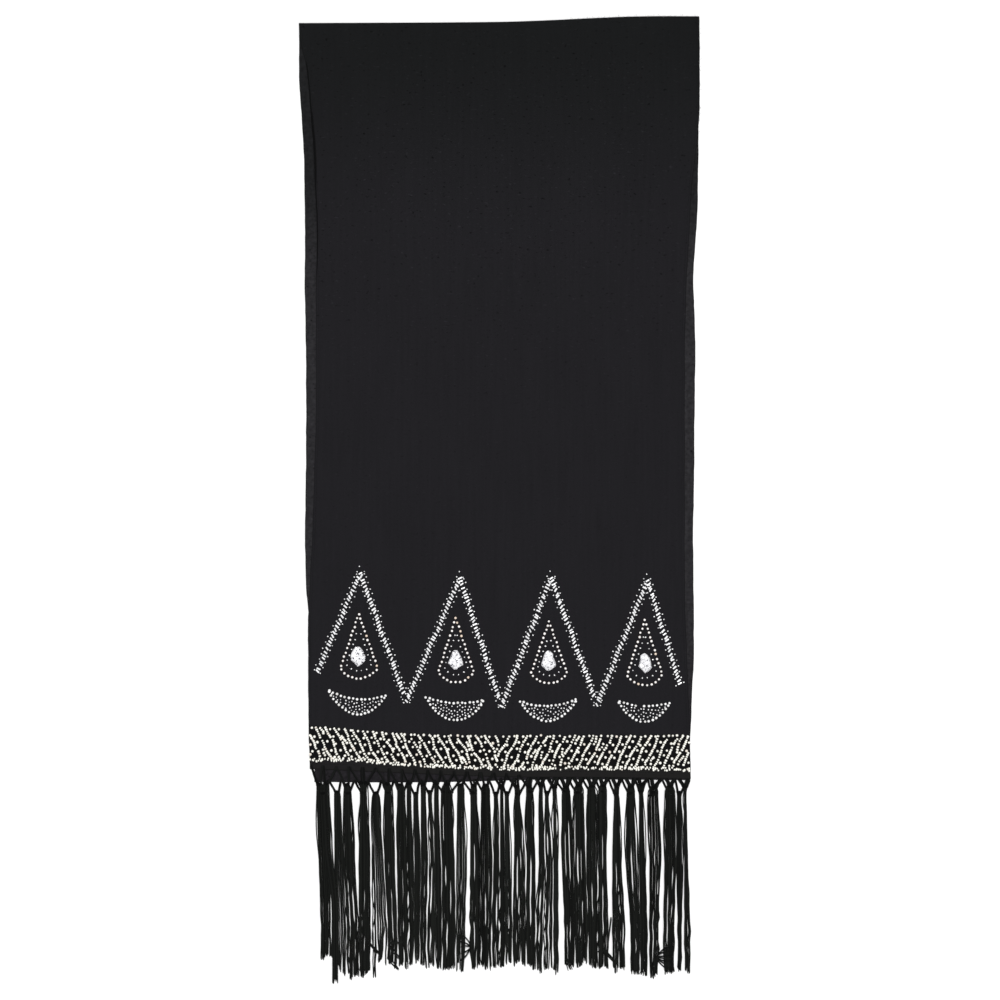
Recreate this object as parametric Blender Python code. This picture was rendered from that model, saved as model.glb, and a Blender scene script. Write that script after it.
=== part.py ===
"""Evening stole, folded once across its length and laid flat.

A long rectangle of black crepe with a knotted fringe at each end. It lies folded in half: the half
that shows lies on the hidden one, the fold is at the far end, and the two fringes lie over each other
at the near end. The end that shows is beaded: a zigzag, four drops with a foil stone in each, four
crescents and a border of slanting lines.

Frame: metres, +X to the right across the stole, +Y along it towards the fold, +Z up. The origin is at
the middle of the underside.
"""

import math
import random
from typing import NamedTuple

import bpy

# ---------------------------------------------------------------------------------------------------
# Driving dimensions
# ---------------------------------------------------------------------------------------------------

WALL = 0.0012               # one layer of cloth
SEAM_GAP = 0.0003           # clearance between neighbouring pieces
UPPER_BOTTOM = WALL + SEAM_GAP
UPPER_TOP = UPPER_BOTTOM + WALL
BEAD_SEAT = UPPER_TOP + SEAM_GAP

FOLD_HEIGHT = 0.0046        # the rounded fold stands this high
FOLD_RISE = 0.045           # the cloth starts to rise this far from the fold
FOLD_RETURN = 0.014         # the folded-under cloth ends this far inside the fold
FOLD_STATIONS = (0.045, 0.032, 0.022, 0.014, 0.0085, 0.0045)    # rows of the rise, inside the fold
FOLD_TURNS = 6              # facets round the fold

THREAD_THICKNESS = 0.0010   # a lock of fringe, seen from its side
FRINGE_FLOOR_GAP = 0.0003   # the under fringe stays this far above the floor
FRINGE_LAYER_GAP = 0.0001   # the upper fringe lies this far above the upper cloth's underside
HEADING_DEPTH = 0.0035      # woven heading that the fringe hangs from
LEG_DEPTH = 0.0110          # from the heading to the knots
LEG_WIDTH = 0.0017
KNOT_DEPTH = 0.0050
KNOT_SWELL = 1.35           # half of a knot's widest part, in legs
KNOT_WAIST = 0.4            # where it is widest, as a share of its depth
KNOT_FOOT = 2.2             # its width where the locks start, in legs
KNOT_WANDER = 0.08          # how far a knot hangs off its place sideways, in bundles
KNOT_SCATTER = 0.0015       # and up or down
LOCKS_PER_BUNDLE = 4
LOCK_ROWS = (0.0, 0.30, 0.84, 1.0)      # where a lock bends, as a share of its length
BUNDLE_FILL = (0.0, 0.66, 0.95, 1.0)    # how far a bundle has spread at those rows
LOCK_GAPS = (0.0, 0.0006, 0.0009, 0.0016)
LOCK_WANDER = 0.4           # how far a lock moves sideways, in the gap beside it
BUNDLE_SPREADS = (0.62, 0.92)           # the least and greatest width of a bundle, in pitches
BUNDLE_ROOM = 0.96          # a bundle sways inside this share of its pitch
FRINGE_END = -0.5830        # where most of the strands end
TIP_SCATTER = 0.0065
LONG_TIP_SCATTER = 0.0040
FRINGE_DRIFT = 0.0080       # the strands sway this far to the right on their way down
LONG_CLUMP_X = -0.2075      # one bundle hangs longer than the rest
LONG_CLUMP_END = -0.6060

UPPER_COLUMNS = 20
UPPER_ROWS = 20
UNDER_COLUMNS = 12
OUTLINE_STEP = 0.030
SHARP_ANGLE = 40.0          # degrees between faces


class Station(NamedTuple):
    """Where the side edges of both layers lie at one distance along the stole."""

    y: float
    upper_left: float
    upper_right: float
    under_left: float
    under_right: float


STATIONS = (
    Station(-0.352, -0.2360, 0.2393, -0.2305, 0.2360),
    Station(-0.325, -0.2385, 0.2403, -0.2312, 0.2368),
    Station(-0.290, -0.2381, 0.2385, -0.2320, 0.2400),
    Station(-0.250, -0.2377, 0.2350, -0.2330, 0.2408),
    Station(-0.200, -0.2378, 0.2325, -0.2345, 0.2438),
    Station(-0.150, -0.2390, 0.2322, -0.2372, 0.2437),
    Station(-0.110, -0.2345, 0.2322, -0.2412, 0.2434),
    Station(-0.030, -0.2322, 0.2320, -0.2428, 0.2426),
    Station(0.000, -0.2290, 0.2320, -0.2420, 0.2438),
    Station(0.100, -0.2288, 0.2320, -0.2412, 0.2445),
    Station(0.200, -0.2288, 0.2322, -0.2416, 0.2456),
    Station(0.280, -0.2288, 0.2336, -0.2432, 0.2428),
    Station(0.340, -0.2272, 0.2350, -0.2423, 0.2476),
    Station(0.370, -0.2288, 0.2376, -0.2433, 0.2486),
    Station(0.400, -0.2300, 0.2415, -0.2432, 0.2490),
    Station(0.430, -0.2306, 0.2475, -0.2440, 0.2494),
    Station(0.460, -0.2330, 0.2500, -0.2452, 0.2496),
    Station(0.490, -0.2342, 0.2512, -0.2476, 0.2500),
    Station(0.520, -0.2380, 0.2512, -0.2496, 0.2502),
    Station(0.551, -0.2404, 0.2508, -0.2506, 0.2502),
    Station(0.566, -0.2448, 0.2506, -0.2506, 0.2501),
    Station(0.579, -0.2499, 0.2504, -0.2504, 0.2500),
    Station(0.606, -0.2489, 0.2502, -0.2498, 0.2500),
)

# Lines across the stole as (x, y).
FOLD_LINE = (
    (-0.250, 0.5975), (0.000, 0.5990), (0.060, 0.6010), (0.115, 0.6037), (0.175, 0.6060), (0.250, 0.6060),
)
UPPER_HEM = (
    (-0.236, -0.3350), (-0.124, -0.3400), (-0.061, -0.3425), (0.000, -0.3450), (0.126, -0.3456),
    (0.239, -0.3475),
)
UNDER_HEM = (
    (-0.231, -0.3513), (-0.124, -0.3519), (-0.024, -0.3506), (0.026, -0.3488), (0.126, -0.3482),
    (0.236, -0.3492),
)


class Crease(NamedTuple):
    """A soft ridge that runs along the stole."""

    x: float
    y_low: float
    y_high: float
    height: float
    half_width: float


CREASES = (
    Crease(-0.2290, 0.150, 0.480, 0.0012, 0.030),
    Crease(-0.1250, 0.300, 0.560, 0.0009, 0.050),
    Crease(-0.0090, -0.060, 0.060, 0.0007, 0.035),
    Crease(0.1225, -0.060, 0.110, 0.0009, 0.035),
    Crease(0.0700, 0.240, 0.520, 0.0010, 0.055),
    Crease(0.2100, 0.380, 0.560, 0.0010, 0.045),
)

# Zigzag, as the middle line of its bars.
ZIGZAG = (
    (-0.2269, -0.2131), (-0.1733, -0.0900), (-0.1156, -0.2500), (-0.0488, -0.0963), (0.0031, -0.2563),
    (0.0650, -0.0956), (0.1225, -0.2538), (0.1856, -0.0994), (0.2263, -0.2288),
)
ZIGZAG_HALF_WIDTH = 0.0056
ZIGZAG_THICKNESS = 0.0020
ZIGZAG_SHOULDER = 0.28      # how far its rounded sides lean in
ZIGZAG_POINT_RUN = 0.0140   # each point of the zigzag is drawn in over this length of arm
ZIGZAG_POINT_REACH = 1.5    # the outer side of a point, in half widths


class Drop(NamedTuple):
    """A drop of pearls, straight sided with a curved foot, and the foil stone inside it."""

    x: float
    top: float
    height: float
    width: float
    stone_x: float
    stone_y: float
    stone_width: float
    stone_height: float
    stone_shoulder: float   # where the stone is widest, as a share of its height from the top


DROPS = (
    Drop(-0.1750, -0.1448, 0.0770, 0.0460, -0.1760, -0.1945, 0.0190, 0.0252, 0.56),
    Drop(-0.0538, -0.1504, 0.0760, 0.0435, -0.0541, -0.1985, 0.0190, 0.0244, 0.60),
    Drop(0.0625, -0.1538, 0.0740, 0.0445, 0.0620, -0.1995, 0.0186, 0.0256, 0.74),
    Drop(0.1822, -0.1525, 0.0778, 0.0438, 0.1830, -0.2028, 0.0176, 0.0255, 0.56),
)
DROP_CORNER = 0.84          # the corners lie at this share of the height
DROP_OUTSET = 0.0018        # the outer pearls reach past their own line
DROP_INSET = 0.0056         # the inner ring of small beads ends here along the sides
DROP_FOOT_INSET = 0.0095    # and here at the foot
DROP_THICKNESS = 0.0028
DROP_INNER_THICKNESS = 0.0017
DROP_BEVEL = 0.0011
DROP_SIDE_STEPS = 4
DROP_FOOT_STEPS = 6
STONE_THICKNESS = 0.0034
STONE_RIM = 0.0012
STONE_POINTS = 16
STONE_TABLE = 0.55


class Crescent(NamedTuple):
    """A crescent with its tips up, between two arcs that meet near its tips."""

    x: float
    y: float                # height of the middle between its tips
    span: float
    tilt: float             # rise from the left tip to the right one
    upper_sag: float
    lower_sag: float


CRESCENTS = (
    Crescent(-0.1775, -0.2386, 0.0725, -0.0071, 0.0092, 0.0285),
    Crescent(-0.0550, -0.2465, 0.0725, -0.0035, 0.0060, 0.0280),
    Crescent(0.0618, -0.2480, 0.0710, 0.0030, 0.0083, 0.0275),
    Crescent(0.1810, -0.2502, 0.0650, -0.0025, 0.0063, 0.0262),
)
CRESCENT_TIP = 0.0018       # half a pearl
CRESCENT_THICKNESS = 0.0026
CRESCENT_SHOULDER = 0.30
CRESCENT_STEPS = 12

BORDER_TOP = ((-0.237, -0.2800), (-0.186, -0.2845), (-0.136, -0.2885), (-0.061, -0.2915), (0.239, -0.2920))
BORDER_FOOT = (
    (-0.238, -0.3256), (-0.186, -0.3254), (-0.155, -0.3278), (-0.124, -0.3310), (-0.061, -0.3340),
    (0.001, -0.3363), (0.126, -0.3358), (0.239, -0.3376),
)
BORDER_LEVEL = -0.310       # the side edges are read at this y
BORDER_INSET = 0.0008       # from the cloth's side edge
BORDER_LINE_PITCH = 0.0116
BORDER_SLANT = 0.0120       # half the sideways run of a bead line
BORDER_CENTRE = -0.0025     # the lines lean in towards this place
BORDER_TURN = 0.0140        # over this distance they turn upright
BORDER_VALLEY = 0.0012
BORDER_PEAK = 0.0032
CRUST_DEPTH = 0.0050
CRUST_THICKNESS = 0.0034
CRUST_RIM = 0.0020          # the crust's outer edge is this thick
CRUST_SLANT = 0.12          # the share of a line's run that the crust hides


class Finish(NamedTuple):
    """A plain finish: linear colour, roughness and metallic."""

    colour: tuple
    roughness: float
    metallic: float = 0.0


CREPE = Finish((0.017, 0.016, 0.019), 0.85)
CREPE_SINGLE = Finish((0.030, 0.029, 0.031), 0.85)
THREAD = Finish((0.012, 0.012, 0.013), 0.65)
BUGLE_GLASS = Finish((0.80, 0.80, 0.82), 0.25, 0.4)
PEARL = Finish((0.86, 0.80, 0.70), 0.30)
GOLD_PEARL = Finish((0.88, 0.82, 0.62), 0.30, 0.2)
FOIL = Finish((0.78, 0.78, 0.80), 0.35, 0.8)


# ---------------------------------------------------------------------------------------------------
# Helpers
# ---------------------------------------------------------------------------------------------------

def mix(low, high, share):
    """Return the value a share of the way from low to high."""
    return low + (high - low) * share


def ease(share):
    """Return a smooth step of a share, held between 0 and 1."""
    share = min(max(share, 0.0), 1.0)
    return share * share * (3.0 - 2.0 * share)


def read_curve(points, place):
    """Read a smooth curve through (place, value) points, level beyond its ends."""
    if place <= points[0][0]:
        return points[0][1]
    if place >= points[-1][0]:
        return points[-1][1]
    last = len(points) - 1
    index = next(i for i in range(last) if place <= points[i + 1][0])
    slopes = []
    for i in (index, index + 1):
        before = points[max(i - 1, 0)]
        after = points[min(i + 1, last)]
        slopes.append((after[1] - before[1]) / (after[0] - before[0]))
    start, end = points[index], points[index + 1]
    run = end[0] - start[0]
    t = (place - start[0]) / run
    return ((2 * t**3 - 3 * t**2 + 1) * start[1] + (t**3 - 2 * t**2 + t) * run * slopes[0]
            + (3 * t**2 - 2 * t**3) * end[1] + (t**3 - t**2) * run * slopes[1])


def edge_x(column, y):
    """Return the x of a side edge, named by its column of the stations, at y."""
    return read_curve([(station.y, getattr(station, column)) for station in STATIONS], y)


def crease_height(x, y):
    """Return how far the creases lift the upper layer at a place."""
    lift = 0.0
    for crease in CREASES:
        across = 1.0 - abs(x - crease.x) / crease.half_width
        along = math.sin(math.pi * min(max((y - crease.y_low) / (crease.y_high - crease.y_low), 0.0), 1.0))
        lift += crease.height * ease(across) * along
    return lift


def finish_material(name, finish):
    """Make the Principled material of one node."""
    material = bpy.data.materials.new(name + "_finish")
    material.use_nodes = True
    shader = material.node_tree.nodes["Principled BSDF"]
    shader.inputs["Base Color"].default_value = (*finish.colour, 1.0)
    shader.inputs["Roughness"].default_value = finish.roughness
    shader.inputs["Metallic"].default_value = finish.metallic
    material.diffuse_color = (*finish.colour, 1.0)
    return material


def make_piece(name, points, faces, finish, location=(0.0, 0.0, 0.0)):
    """Make one node from its points and faces, and place it."""
    mesh = bpy.data.meshes.new(name)
    mesh.from_pydata(points, [], faces)
    mesh.validate()
    mesh.shade_smooth()
    mesh.set_sharp_from_angle(angle=math.radians(SHARP_ANGLE))
    mesh.materials.append(finish_material(name, finish))
    piece = bpy.data.objects.new(name, mesh)
    piece.location = location
    bpy.context.scene.collection.objects.link(piece)
    return piece


def loft(rings, joined=False):
    """Skin rings of points, each anticlockwise seen from the next one, and cap or join the ends."""
    size = len(rings[0])
    points = [point for ring in rings for point in ring]
    spans = len(rings) if joined else len(rings) - 1
    faces = []
    for r in range(spans):
        here = r * size
        there = (r + 1) % len(rings) * size
        for i in range(size):
            j = (i + 1) % size
            faces.append((here + j, here + i, there + i, there + j))
    if not joined:
        faces.append(tuple(range(size)))
        faces.append(tuple(reversed(range(len(points) - size, len(points)))))
    return points, faces


def plate(outline_points, outline_faces):
    """Give a flat pattern its thickness.

    Each point is (x, y, low, high), and each face runs anticlockwise seen from above. The rim is
    closed along every edge that only one face uses.
    """
    count = len(outline_points)
    points = [(x, y, low) for x, y, low, _ in outline_points]
    points += [(x, y, high) for x, y, _, high in outline_points]
    faces = [tuple(reversed(face)) for face in outline_faces]
    faces += [tuple(i + count for i in face) for face in outline_faces]
    edges = {(face[i - 1], face[i]) for face in outline_faces for i in range(len(face))}
    faces += [(a, b, b + count, a + count) for a, b in sorted(edges) if (b, a) not in edges]
    return points, faces


# ---------------------------------------------------------------------------------------------------
# Cloth
# ---------------------------------------------------------------------------------------------------

def fold_profile():
    """Return the middle of the cloth round the fold as (distance inside the fold, height)."""
    radius = (FOLD_HEIGHT - WALL) / 2
    middle = FOLD_HEIGHT / 2
    centre = radius + WALL / 2
    flat = (UPPER_BOTTOM + UPPER_TOP) / 2
    profile = []
    for inside in FOLD_STATIONS:
        rise = ease((FOLD_RISE - inside) / (FOLD_RISE - centre))
        profile.append((inside, mix(flat, middle + radius, rise)))
    for turn in range(FOLD_TURNS + 1):
        angle = math.pi / 2 - math.pi * turn / FOLD_TURNS
        profile.append((centre - radius * math.cos(angle), middle + radius * math.sin(angle)))
    profile.append((FOLD_RETURN, WALL / 2))
    return profile


def upper_section(share):
    """Return the middle line of the upper half, from hem to fold and round it, at a share across."""
    line = []
    hem_level = read_curve(UPPER_HEM, 0.0)
    fold_level = read_curve(FOLD_LINE, 0.0)
    for row in range(UPPER_ROWS):
        along = row / UPPER_ROWS
        level = mix(hem_level, fold_level - FOLD_RISE, along)
        x = mix(edge_x("upper_left", level), edge_x("upper_right", level), share)
        y = mix(read_curve(UPPER_HEM, x), read_curve(FOLD_LINE, x) - FOLD_RISE, along)
        height = (UPPER_BOTTOM + UPPER_TOP) / 2 + crease_height(x, y)
        line.append((x, y, height))
    for inside, height in fold_profile():
        level = fold_level - inside
        x = mix(edge_x("upper_left", level), edge_x("upper_right", level), share)
        y = read_curve(FOLD_LINE, x) - inside
        if height > FOLD_HEIGHT / 2:
            height += crease_height(x, y)
        line.append((x, y, height))
    return line


def make_upper_half():
    """Make the half that shows: a wall that runs from its hem round the fold."""
    sections = []
    for column in range(UPPER_COLUMNS + 1):
        line = upper_section(column / UPPER_COLUMNS)
        outer = []
        inner = []
        for i, (x, y, z) in enumerate(line):
            before = line[max(i - 1, 0)]
            after = line[min(i + 1, len(line) - 1)]
            run = after[1] - before[1]
            rise = after[2] - before[2]
            length = math.hypot(run, rise)
            side = (-rise / length * WALL / 2, run / length * WALL / 2)
            outer.append((x, y + side[0], z + side[1]))
            inner.append((x, y - side[0], z - side[1]))
        outer[-1] = (line[-1][0], line[-1][1], 0.0)
        inner[-1] = (line[-1][0], line[-1][1], WALL)
        sections.append(outer + inner[::-1])
    return make_piece("stole_upper_half", *loft(sections), CREPE)


def make_under_half():
    """Make the hidden half: one flat layer, whose side edges peek out from under the upper one."""
    inner_fold = FOLD_RETURN + SEAM_GAP
    right = []
    left = []
    span = STATIONS[-1].y - STATIONS[0].y
    steps = round(span / OUTLINE_STEP)
    for step in range(1, steps):
        y = mix(STATIONS[0].y, STATIONS[-1].y, step / steps)
        if y < read_curve(FOLD_LINE, 0.0) - FOLD_RISE:
            right.append((edge_x("under_right", y), y))
            left.append((edge_x("under_left", y), y))
    near, far = STATIONS[0], STATIONS[-1]
    shares = [i / UNDER_COLUMNS for i in range(UNDER_COLUMNS + 1)]
    hem = [mix(near.under_left, near.under_right, share) for share in shares]
    head = [mix(far.under_right, far.under_left, share) for share in shares]
    outline = [(x, read_curve(UNDER_HEM, x)) for x in hem]
    outline += right
    outline += [(x, read_curve(FOLD_LINE, x) - inner_fold) for x in head]
    outline += reversed(left)
    points = [(x, y, 0.0, WALL) for x, y in outline]
    return make_piece("stole_under_half", *plate(points, [tuple(range(len(points)))]), CREPE_SINGLE)


# ---------------------------------------------------------------------------------------------------
# Fringes
# ---------------------------------------------------------------------------------------------------

class Fringe(NamedTuple):
    """One knotted fringe: the hem it hangs from, its reach and its height above the floor."""

    name: str
    hem: tuple
    left: float
    right: float
    bundles: int
    low: float
    seed: int


UPPER_FRINGE = Fringe("fringe_upper", UPPER_HEM, -0.2360, 0.2385, 29, UPPER_BOTTOM + FRINGE_LAYER_GAP, 4)
UNDER_FRINGE = Fringe("fringe_under", UNDER_HEM, -0.2300, 0.2355, 28, FRINGE_FLOOR_GAP, 11)


class Pattern:
    """A flat pattern of points and faces that plate() gives its thickness."""

    def __init__(self, low):
        self.low = low
        self.points = []
        self.faces = []

    def row(self, y, *places):
        """Add a row of points at one y and return their numbers."""
        first = len(self.points)
        for x in places:
            self.points.append((x, y, self.low, self.low + THREAD_THICKNESS))
        return list(range(first, len(self.points)))

    def face(self, *numbers):
        """Add a face from its points' numbers."""
        self.faces.append(numbers)


def add_heading(pattern, fringe):
    """Add the woven heading and return, for each bundle, the four points that its legs hang from."""
    pitch = (fringe.right - fringe.left) / fringe.bundles
    posts = []
    for i in range(fringe.bundles):
        start = fringe.left + i * pitch
        posts += [start, start + LEG_WIDTH, start + pitch - LEG_WIDTH]
    posts.append(fringe.right)
    upper = []
    lower = []
    for x in posts:
        hem = read_curve(fringe.hem, x) - SEAM_GAP
        upper += pattern.row(hem, x)
        lower += pattern.row(hem - HEADING_DEPTH, x)
    for i in range(len(posts) - 1):
        pattern.face(lower[i], lower[i + 1], upper[i + 1], upper[i])
    return [lower[3 * i:3 * i + 4] for i in range(fringe.bundles)]


def add_knot(pattern, middle, top, hangers):
    """Add two legs and the knot that ties them, and return the points that the locks hang from."""
    legs = pattern.row(top, middle - LEG_WIDTH, middle, middle + LEG_WIDTH)
    swell = LEG_WIDTH * KNOT_SWELL
    waist = pattern.row(top - KNOT_DEPTH * KNOT_WAIST, middle - swell, middle, middle + swell)
    width = LEG_WIDTH * KNOT_FOOT
    share = [mix(-0.5, 0.5, i / LOCKS_PER_BUNDLE) for i in range(LOCKS_PER_BUNDLE + 1)]
    roots = pattern.row(top - KNOT_DEPTH, *[middle + width * part for part in share])
    pattern.face(legs[0], legs[1], hangers[1], hangers[0])
    pattern.face(legs[1], legs[2], hangers[3], hangers[2])
    for side in (0, 1):
        pattern.face(waist[side], waist[side + 1], legs[side + 1], legs[side])
    half = LOCKS_PER_BUNDLE // 2
    pattern.face(*roots[:half + 1], waist[1], waist[0])
    pattern.face(*roots[half:], waist[2], waist[1])
    return roots


def add_locks(pattern, roots, pitch, is_long, rng):
    """Hang the locks of one bundle from its knot, side by side and never touching."""
    end = LONG_CLUMP_END + LONG_TIP_SCATTER if is_long else FRINGE_END
    scatter = LONG_TIP_SCATTER if is_long else TIP_SCATTER
    left = pattern.points[roots[0]]
    right = pattern.points[roots[-1]]
    middle = (left[0] + right[0]) / 2
    top = left[1]
    root_width = right[0] - left[0]
    spread = rng.uniform(*BUNDLE_SPREADS) * pitch
    sway = rng.uniform(-0.5, 0.5) * (BUNDLE_ROOM * pitch - spread)
    for lock in range(LOCKS_PER_BUNDLE):
        above = (roots[lock], roots[lock + 1])
        tip = end + rng.uniform(-1.0, 1.0) * scatter
        if is_long and lock == 1:
            tip = LONG_CLUMP_END
        for i in range(1, len(LOCK_ROWS)):
            down = LOCK_ROWS[i]
            width = mix(root_width, spread, BUNDLE_FILL[i])
            lane = width / LOCKS_PER_BUNDLE
            centre = middle + (sway + FRINGE_DRIFT) * down + lane * (lock + 0.5 - LOCKS_PER_BUNDLE / 2)
            half = (lane - LOCK_GAPS[i]) / 2
            centre += rng.uniform(-LOCK_WANDER, LOCK_WANDER) * LOCK_GAPS[i]
            below = pattern.row(mix(top, tip, down), centre - half, centre + half)
            pattern.face(below[0], below[1], above[1], above[0])
            above = below


def make_fringe(fringe):
    """Make one fringe: heading, V legs, knots and locks in one piece."""
    rng = random.Random(fringe.seed)
    pattern = Pattern(fringe.low)
    pitch = (fringe.right - fringe.left) / fringe.bundles
    for i, hangers in enumerate(add_heading(pattern, fringe)):
        middle = fringe.left + (i + 0.5) * pitch + rng.uniform(-KNOT_WANDER, KNOT_WANDER) * pitch
        top = read_curve(fringe.hem, middle) - SEAM_GAP - HEADING_DEPTH - LEG_DEPTH
        roots = add_knot(pattern, middle, top + rng.uniform(-KNOT_SCATTER, KNOT_SCATTER), hangers)
        is_long = fringe is UPPER_FRINGE and abs(middle - LONG_CLUMP_X) < pitch / 2
        add_locks(pattern, roots, pitch, is_long, rng)
    return make_piece(fringe.name, *plate(pattern.points, pattern.faces), THREAD)


# ---------------------------------------------------------------------------------------------------
# Beadwork
# ---------------------------------------------------------------------------------------------------

def unit(vector):
    """Return a plane vector at length one."""
    length = math.hypot(*vector)
    return (vector[0] / length, vector[1] / length)


def band_ring(place, left, right, low, high, shoulder):
    """Return a cross-section ring of a raised band from its two side points."""
    inner_left = (mix(left[0], place[0], shoulder), mix(left[1], place[1], shoulder))
    inner_right = (mix(right[0], place[0], shoulder), mix(right[1], place[1], shoulder))
    return [(*left, low), (*right, low), (*inner_right, high), (*inner_left, high)]


def make_zigzag():
    """Make the zigzag as one raised band, drawn in at its points."""
    low = BEAD_SEAT
    high = BEAD_SEAT + ZIGZAG_THICKNESS
    arms = [unit((b[0] - a[0], b[1] - a[1])) for a, b in zip(ZIGZAG, ZIGZAG[1:])]
    rings = []

    def add_square(place, arm):
        side = (-arm[1] * ZIGZAG_HALF_WIDTH, arm[0] * ZIGZAG_HALF_WIDTH)
        left = (place[0] + side[0], place[1] + side[1])
        right = (place[0] - side[0], place[1] - side[1])
        rings.append(band_ring(place, left, right, low, high, ZIGZAG_SHOULDER))

    add_square(ZIGZAG[0], arms[0])
    for i in range(1, len(ZIGZAG) - 1):
        place = ZIGZAG[i]
        before, after = arms[i - 1], arms[i]
        add_square((place[0] - before[0] * ZIGZAG_POINT_RUN, place[1] - before[1] * ZIGZAG_POINT_RUN), before)
        inward = unit((after[0] - before[0], after[1] - before[1]))
        half_turn = math.acos(before[0] * after[0] + before[1] * after[1]) / 2
        inner_reach = ZIGZAG_HALF_WIDTH / math.cos(half_turn)
        outer_reach = ZIGZAG_HALF_WIDTH * ZIGZAG_POINT_REACH
        inner = (place[0] + inward[0] * inner_reach, place[1] + inward[1] * inner_reach)
        outer = (place[0] - inward[0] * outer_reach, place[1] - inward[1] * outer_reach)
        turns_right = before[0] * after[1] - before[1] * after[0] < 0
        left, right = (outer, inner) if turns_right else (inner, outer)
        rings.append(band_ring(place, left, right, low, high, ZIGZAG_SHOULDER))
        add_square((place[0] + after[0] * ZIGZAG_POINT_RUN, place[1] + after[1] * ZIGZAG_POINT_RUN), after)
    add_square(ZIGZAG[-1], arms[-1])
    return make_piece("zigzag_beading", *loft(rings), BUGLE_GLASS)


def drop_outline(drop, inset, foot_inset):
    """Return the outline of a drop, moved in at its sides and its foot, about its own middle."""
    half = drop.width / 2
    corner = drop.height * DROP_CORNER
    sag = drop.height - corner
    radius = (half * half + sag * sag) / (2 * sag)
    centre_y = drop.height / 2 - drop.height + radius
    lean = math.atan2(half, corner)
    apex_y = drop.height / 2 - inset / math.sin(lean)
    foot_radius = radius - foot_inset
    ahead = (math.sin(lean), -math.cos(lean))
    toward = (apex_y - centre_y) * ahead[1]
    reach = -toward + math.sqrt(toward**2 - (apex_y - centre_y)**2 + foot_radius**2)
    corner_point = (ahead[0] * reach, apex_y + ahead[1] * reach)
    angle = math.atan2(corner_point[0], centre_y - corner_point[1])
    right = [(corner_point[0] * i / DROP_SIDE_STEPS, mix(apex_y, corner_point[1], i / DROP_SIDE_STEPS))
             for i in range(DROP_SIDE_STEPS)]
    foot = []
    for i in range(DROP_FOOT_STEPS + 1):
        turn = mix(angle, -angle, i / DROP_FOOT_STEPS)
        foot.append((foot_radius * math.sin(turn), centre_y - foot_radius * math.cos(turn)))
    left = [(-x, y) for x, y in right[:0:-1]]
    return right + foot + left


def make_drop(number, drop):
    """Make the ring of one drop: its outer pearls and inner beads as one raised band."""
    outer = drop_outline(drop, -DROP_OUTSET, -DROP_OUTSET)
    outer_top = drop_outline(drop, DROP_BEVEL - DROP_OUTSET, DROP_BEVEL - DROP_OUTSET)
    inner_top = drop_outline(drop, DROP_INSET - DROP_BEVEL, DROP_FOOT_INSET - DROP_BEVEL)
    inner = drop_outline(drop, DROP_INSET, DROP_FOOT_INSET)
    rings = []
    for a, b, c, d in zip(outer, outer_top, inner_top, inner):
        rings.append([(*d, 0.0), (*c, DROP_INNER_THICKNESS), (*b, DROP_THICKNESS), (*a, 0.0)])
    place = (drop.x, drop.top - drop.height / 2, BEAD_SEAT)
    return make_piece(f"drop_beading_{number}", *loft(rings, joined=True), PEARL, place)


def stone_outline(drop, scale):
    """Return the outline of a foil stone: a round head and a point at its foot."""
    half = drop.stone_width / 2
    upper = drop.stone_height * drop.stone_shoulder
    lower = drop.stone_height - upper
    shoulder_y = drop.stone_height / 2 - upper
    outline = []
    for i in range(STONE_POINTS):
        angle = 2 * math.pi * i / STONE_POINTS
        across = math.sin(angle)
        along = math.cos(angle)
        if along < 0:
            across = math.copysign(1.0 + along, across)
        reach = upper if along >= 0 else lower
        outline.append((half * across * scale, (shoulder_y + reach * along) * scale))
    return outline[::-1]


def make_stone(number, drop):
    """Make one foil stone: a low rim, a bevelled shoulder and a flat table."""
    levels = ((1.0, 0.0), (1.0, STONE_RIM), (STONE_TABLE, STONE_THICKNESS))
    rings = [[(x, y, height) for x, y in stone_outline(drop, scale)] for scale, height in levels]
    points, faces = loft([ring[::-1] for ring in rings])
    place = (drop.stone_x, drop.stone_y, BEAD_SEAT)
    return make_piece(f"drop_stone_{number}", points, faces, FOIL, place)


def make_crescent(number, crescent):
    """Make one crescent as a raised band between its two arcs."""
    rings = []
    for step in range(CRESCENT_STEPS + 1):
        across = mix(-1.0, 1.0, step / CRESCENT_STEPS)
        bow = 1.0 - across * across
        x = across * (crescent.span / 2 + CRESCENT_TIP)
        line = crescent.tilt / 2 * across
        upper = (x, line - crescent.upper_sag * bow + CRESCENT_TIP)
        lower = (x, line - crescent.lower_sag * bow - CRESCENT_TIP)
        place = (x, (upper[1] + lower[1]) / 2)
        rings.append(band_ring(place, upper, lower, 0.0, CRESCENT_THICKNESS, CRESCENT_SHOULDER))
    place = (crescent.x, crescent.y, BEAD_SEAT)
    return make_piece(f"crescent_beading_{number}", *loft(rings), PEARL, place)


def border_lean(x, left, right):
    """Return the sideways run of the bead line whose middle is at x, from its middle to its foot."""
    from_centre = (BORDER_CENTRE - x) / BORDER_TURN
    from_sides = min(x - left, right - x) / BORDER_TURN
    return BORDER_SLANT * max(min(from_centre, 1.0), -1.0) * min(max(from_sides, 0.0), 1.0)


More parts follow.
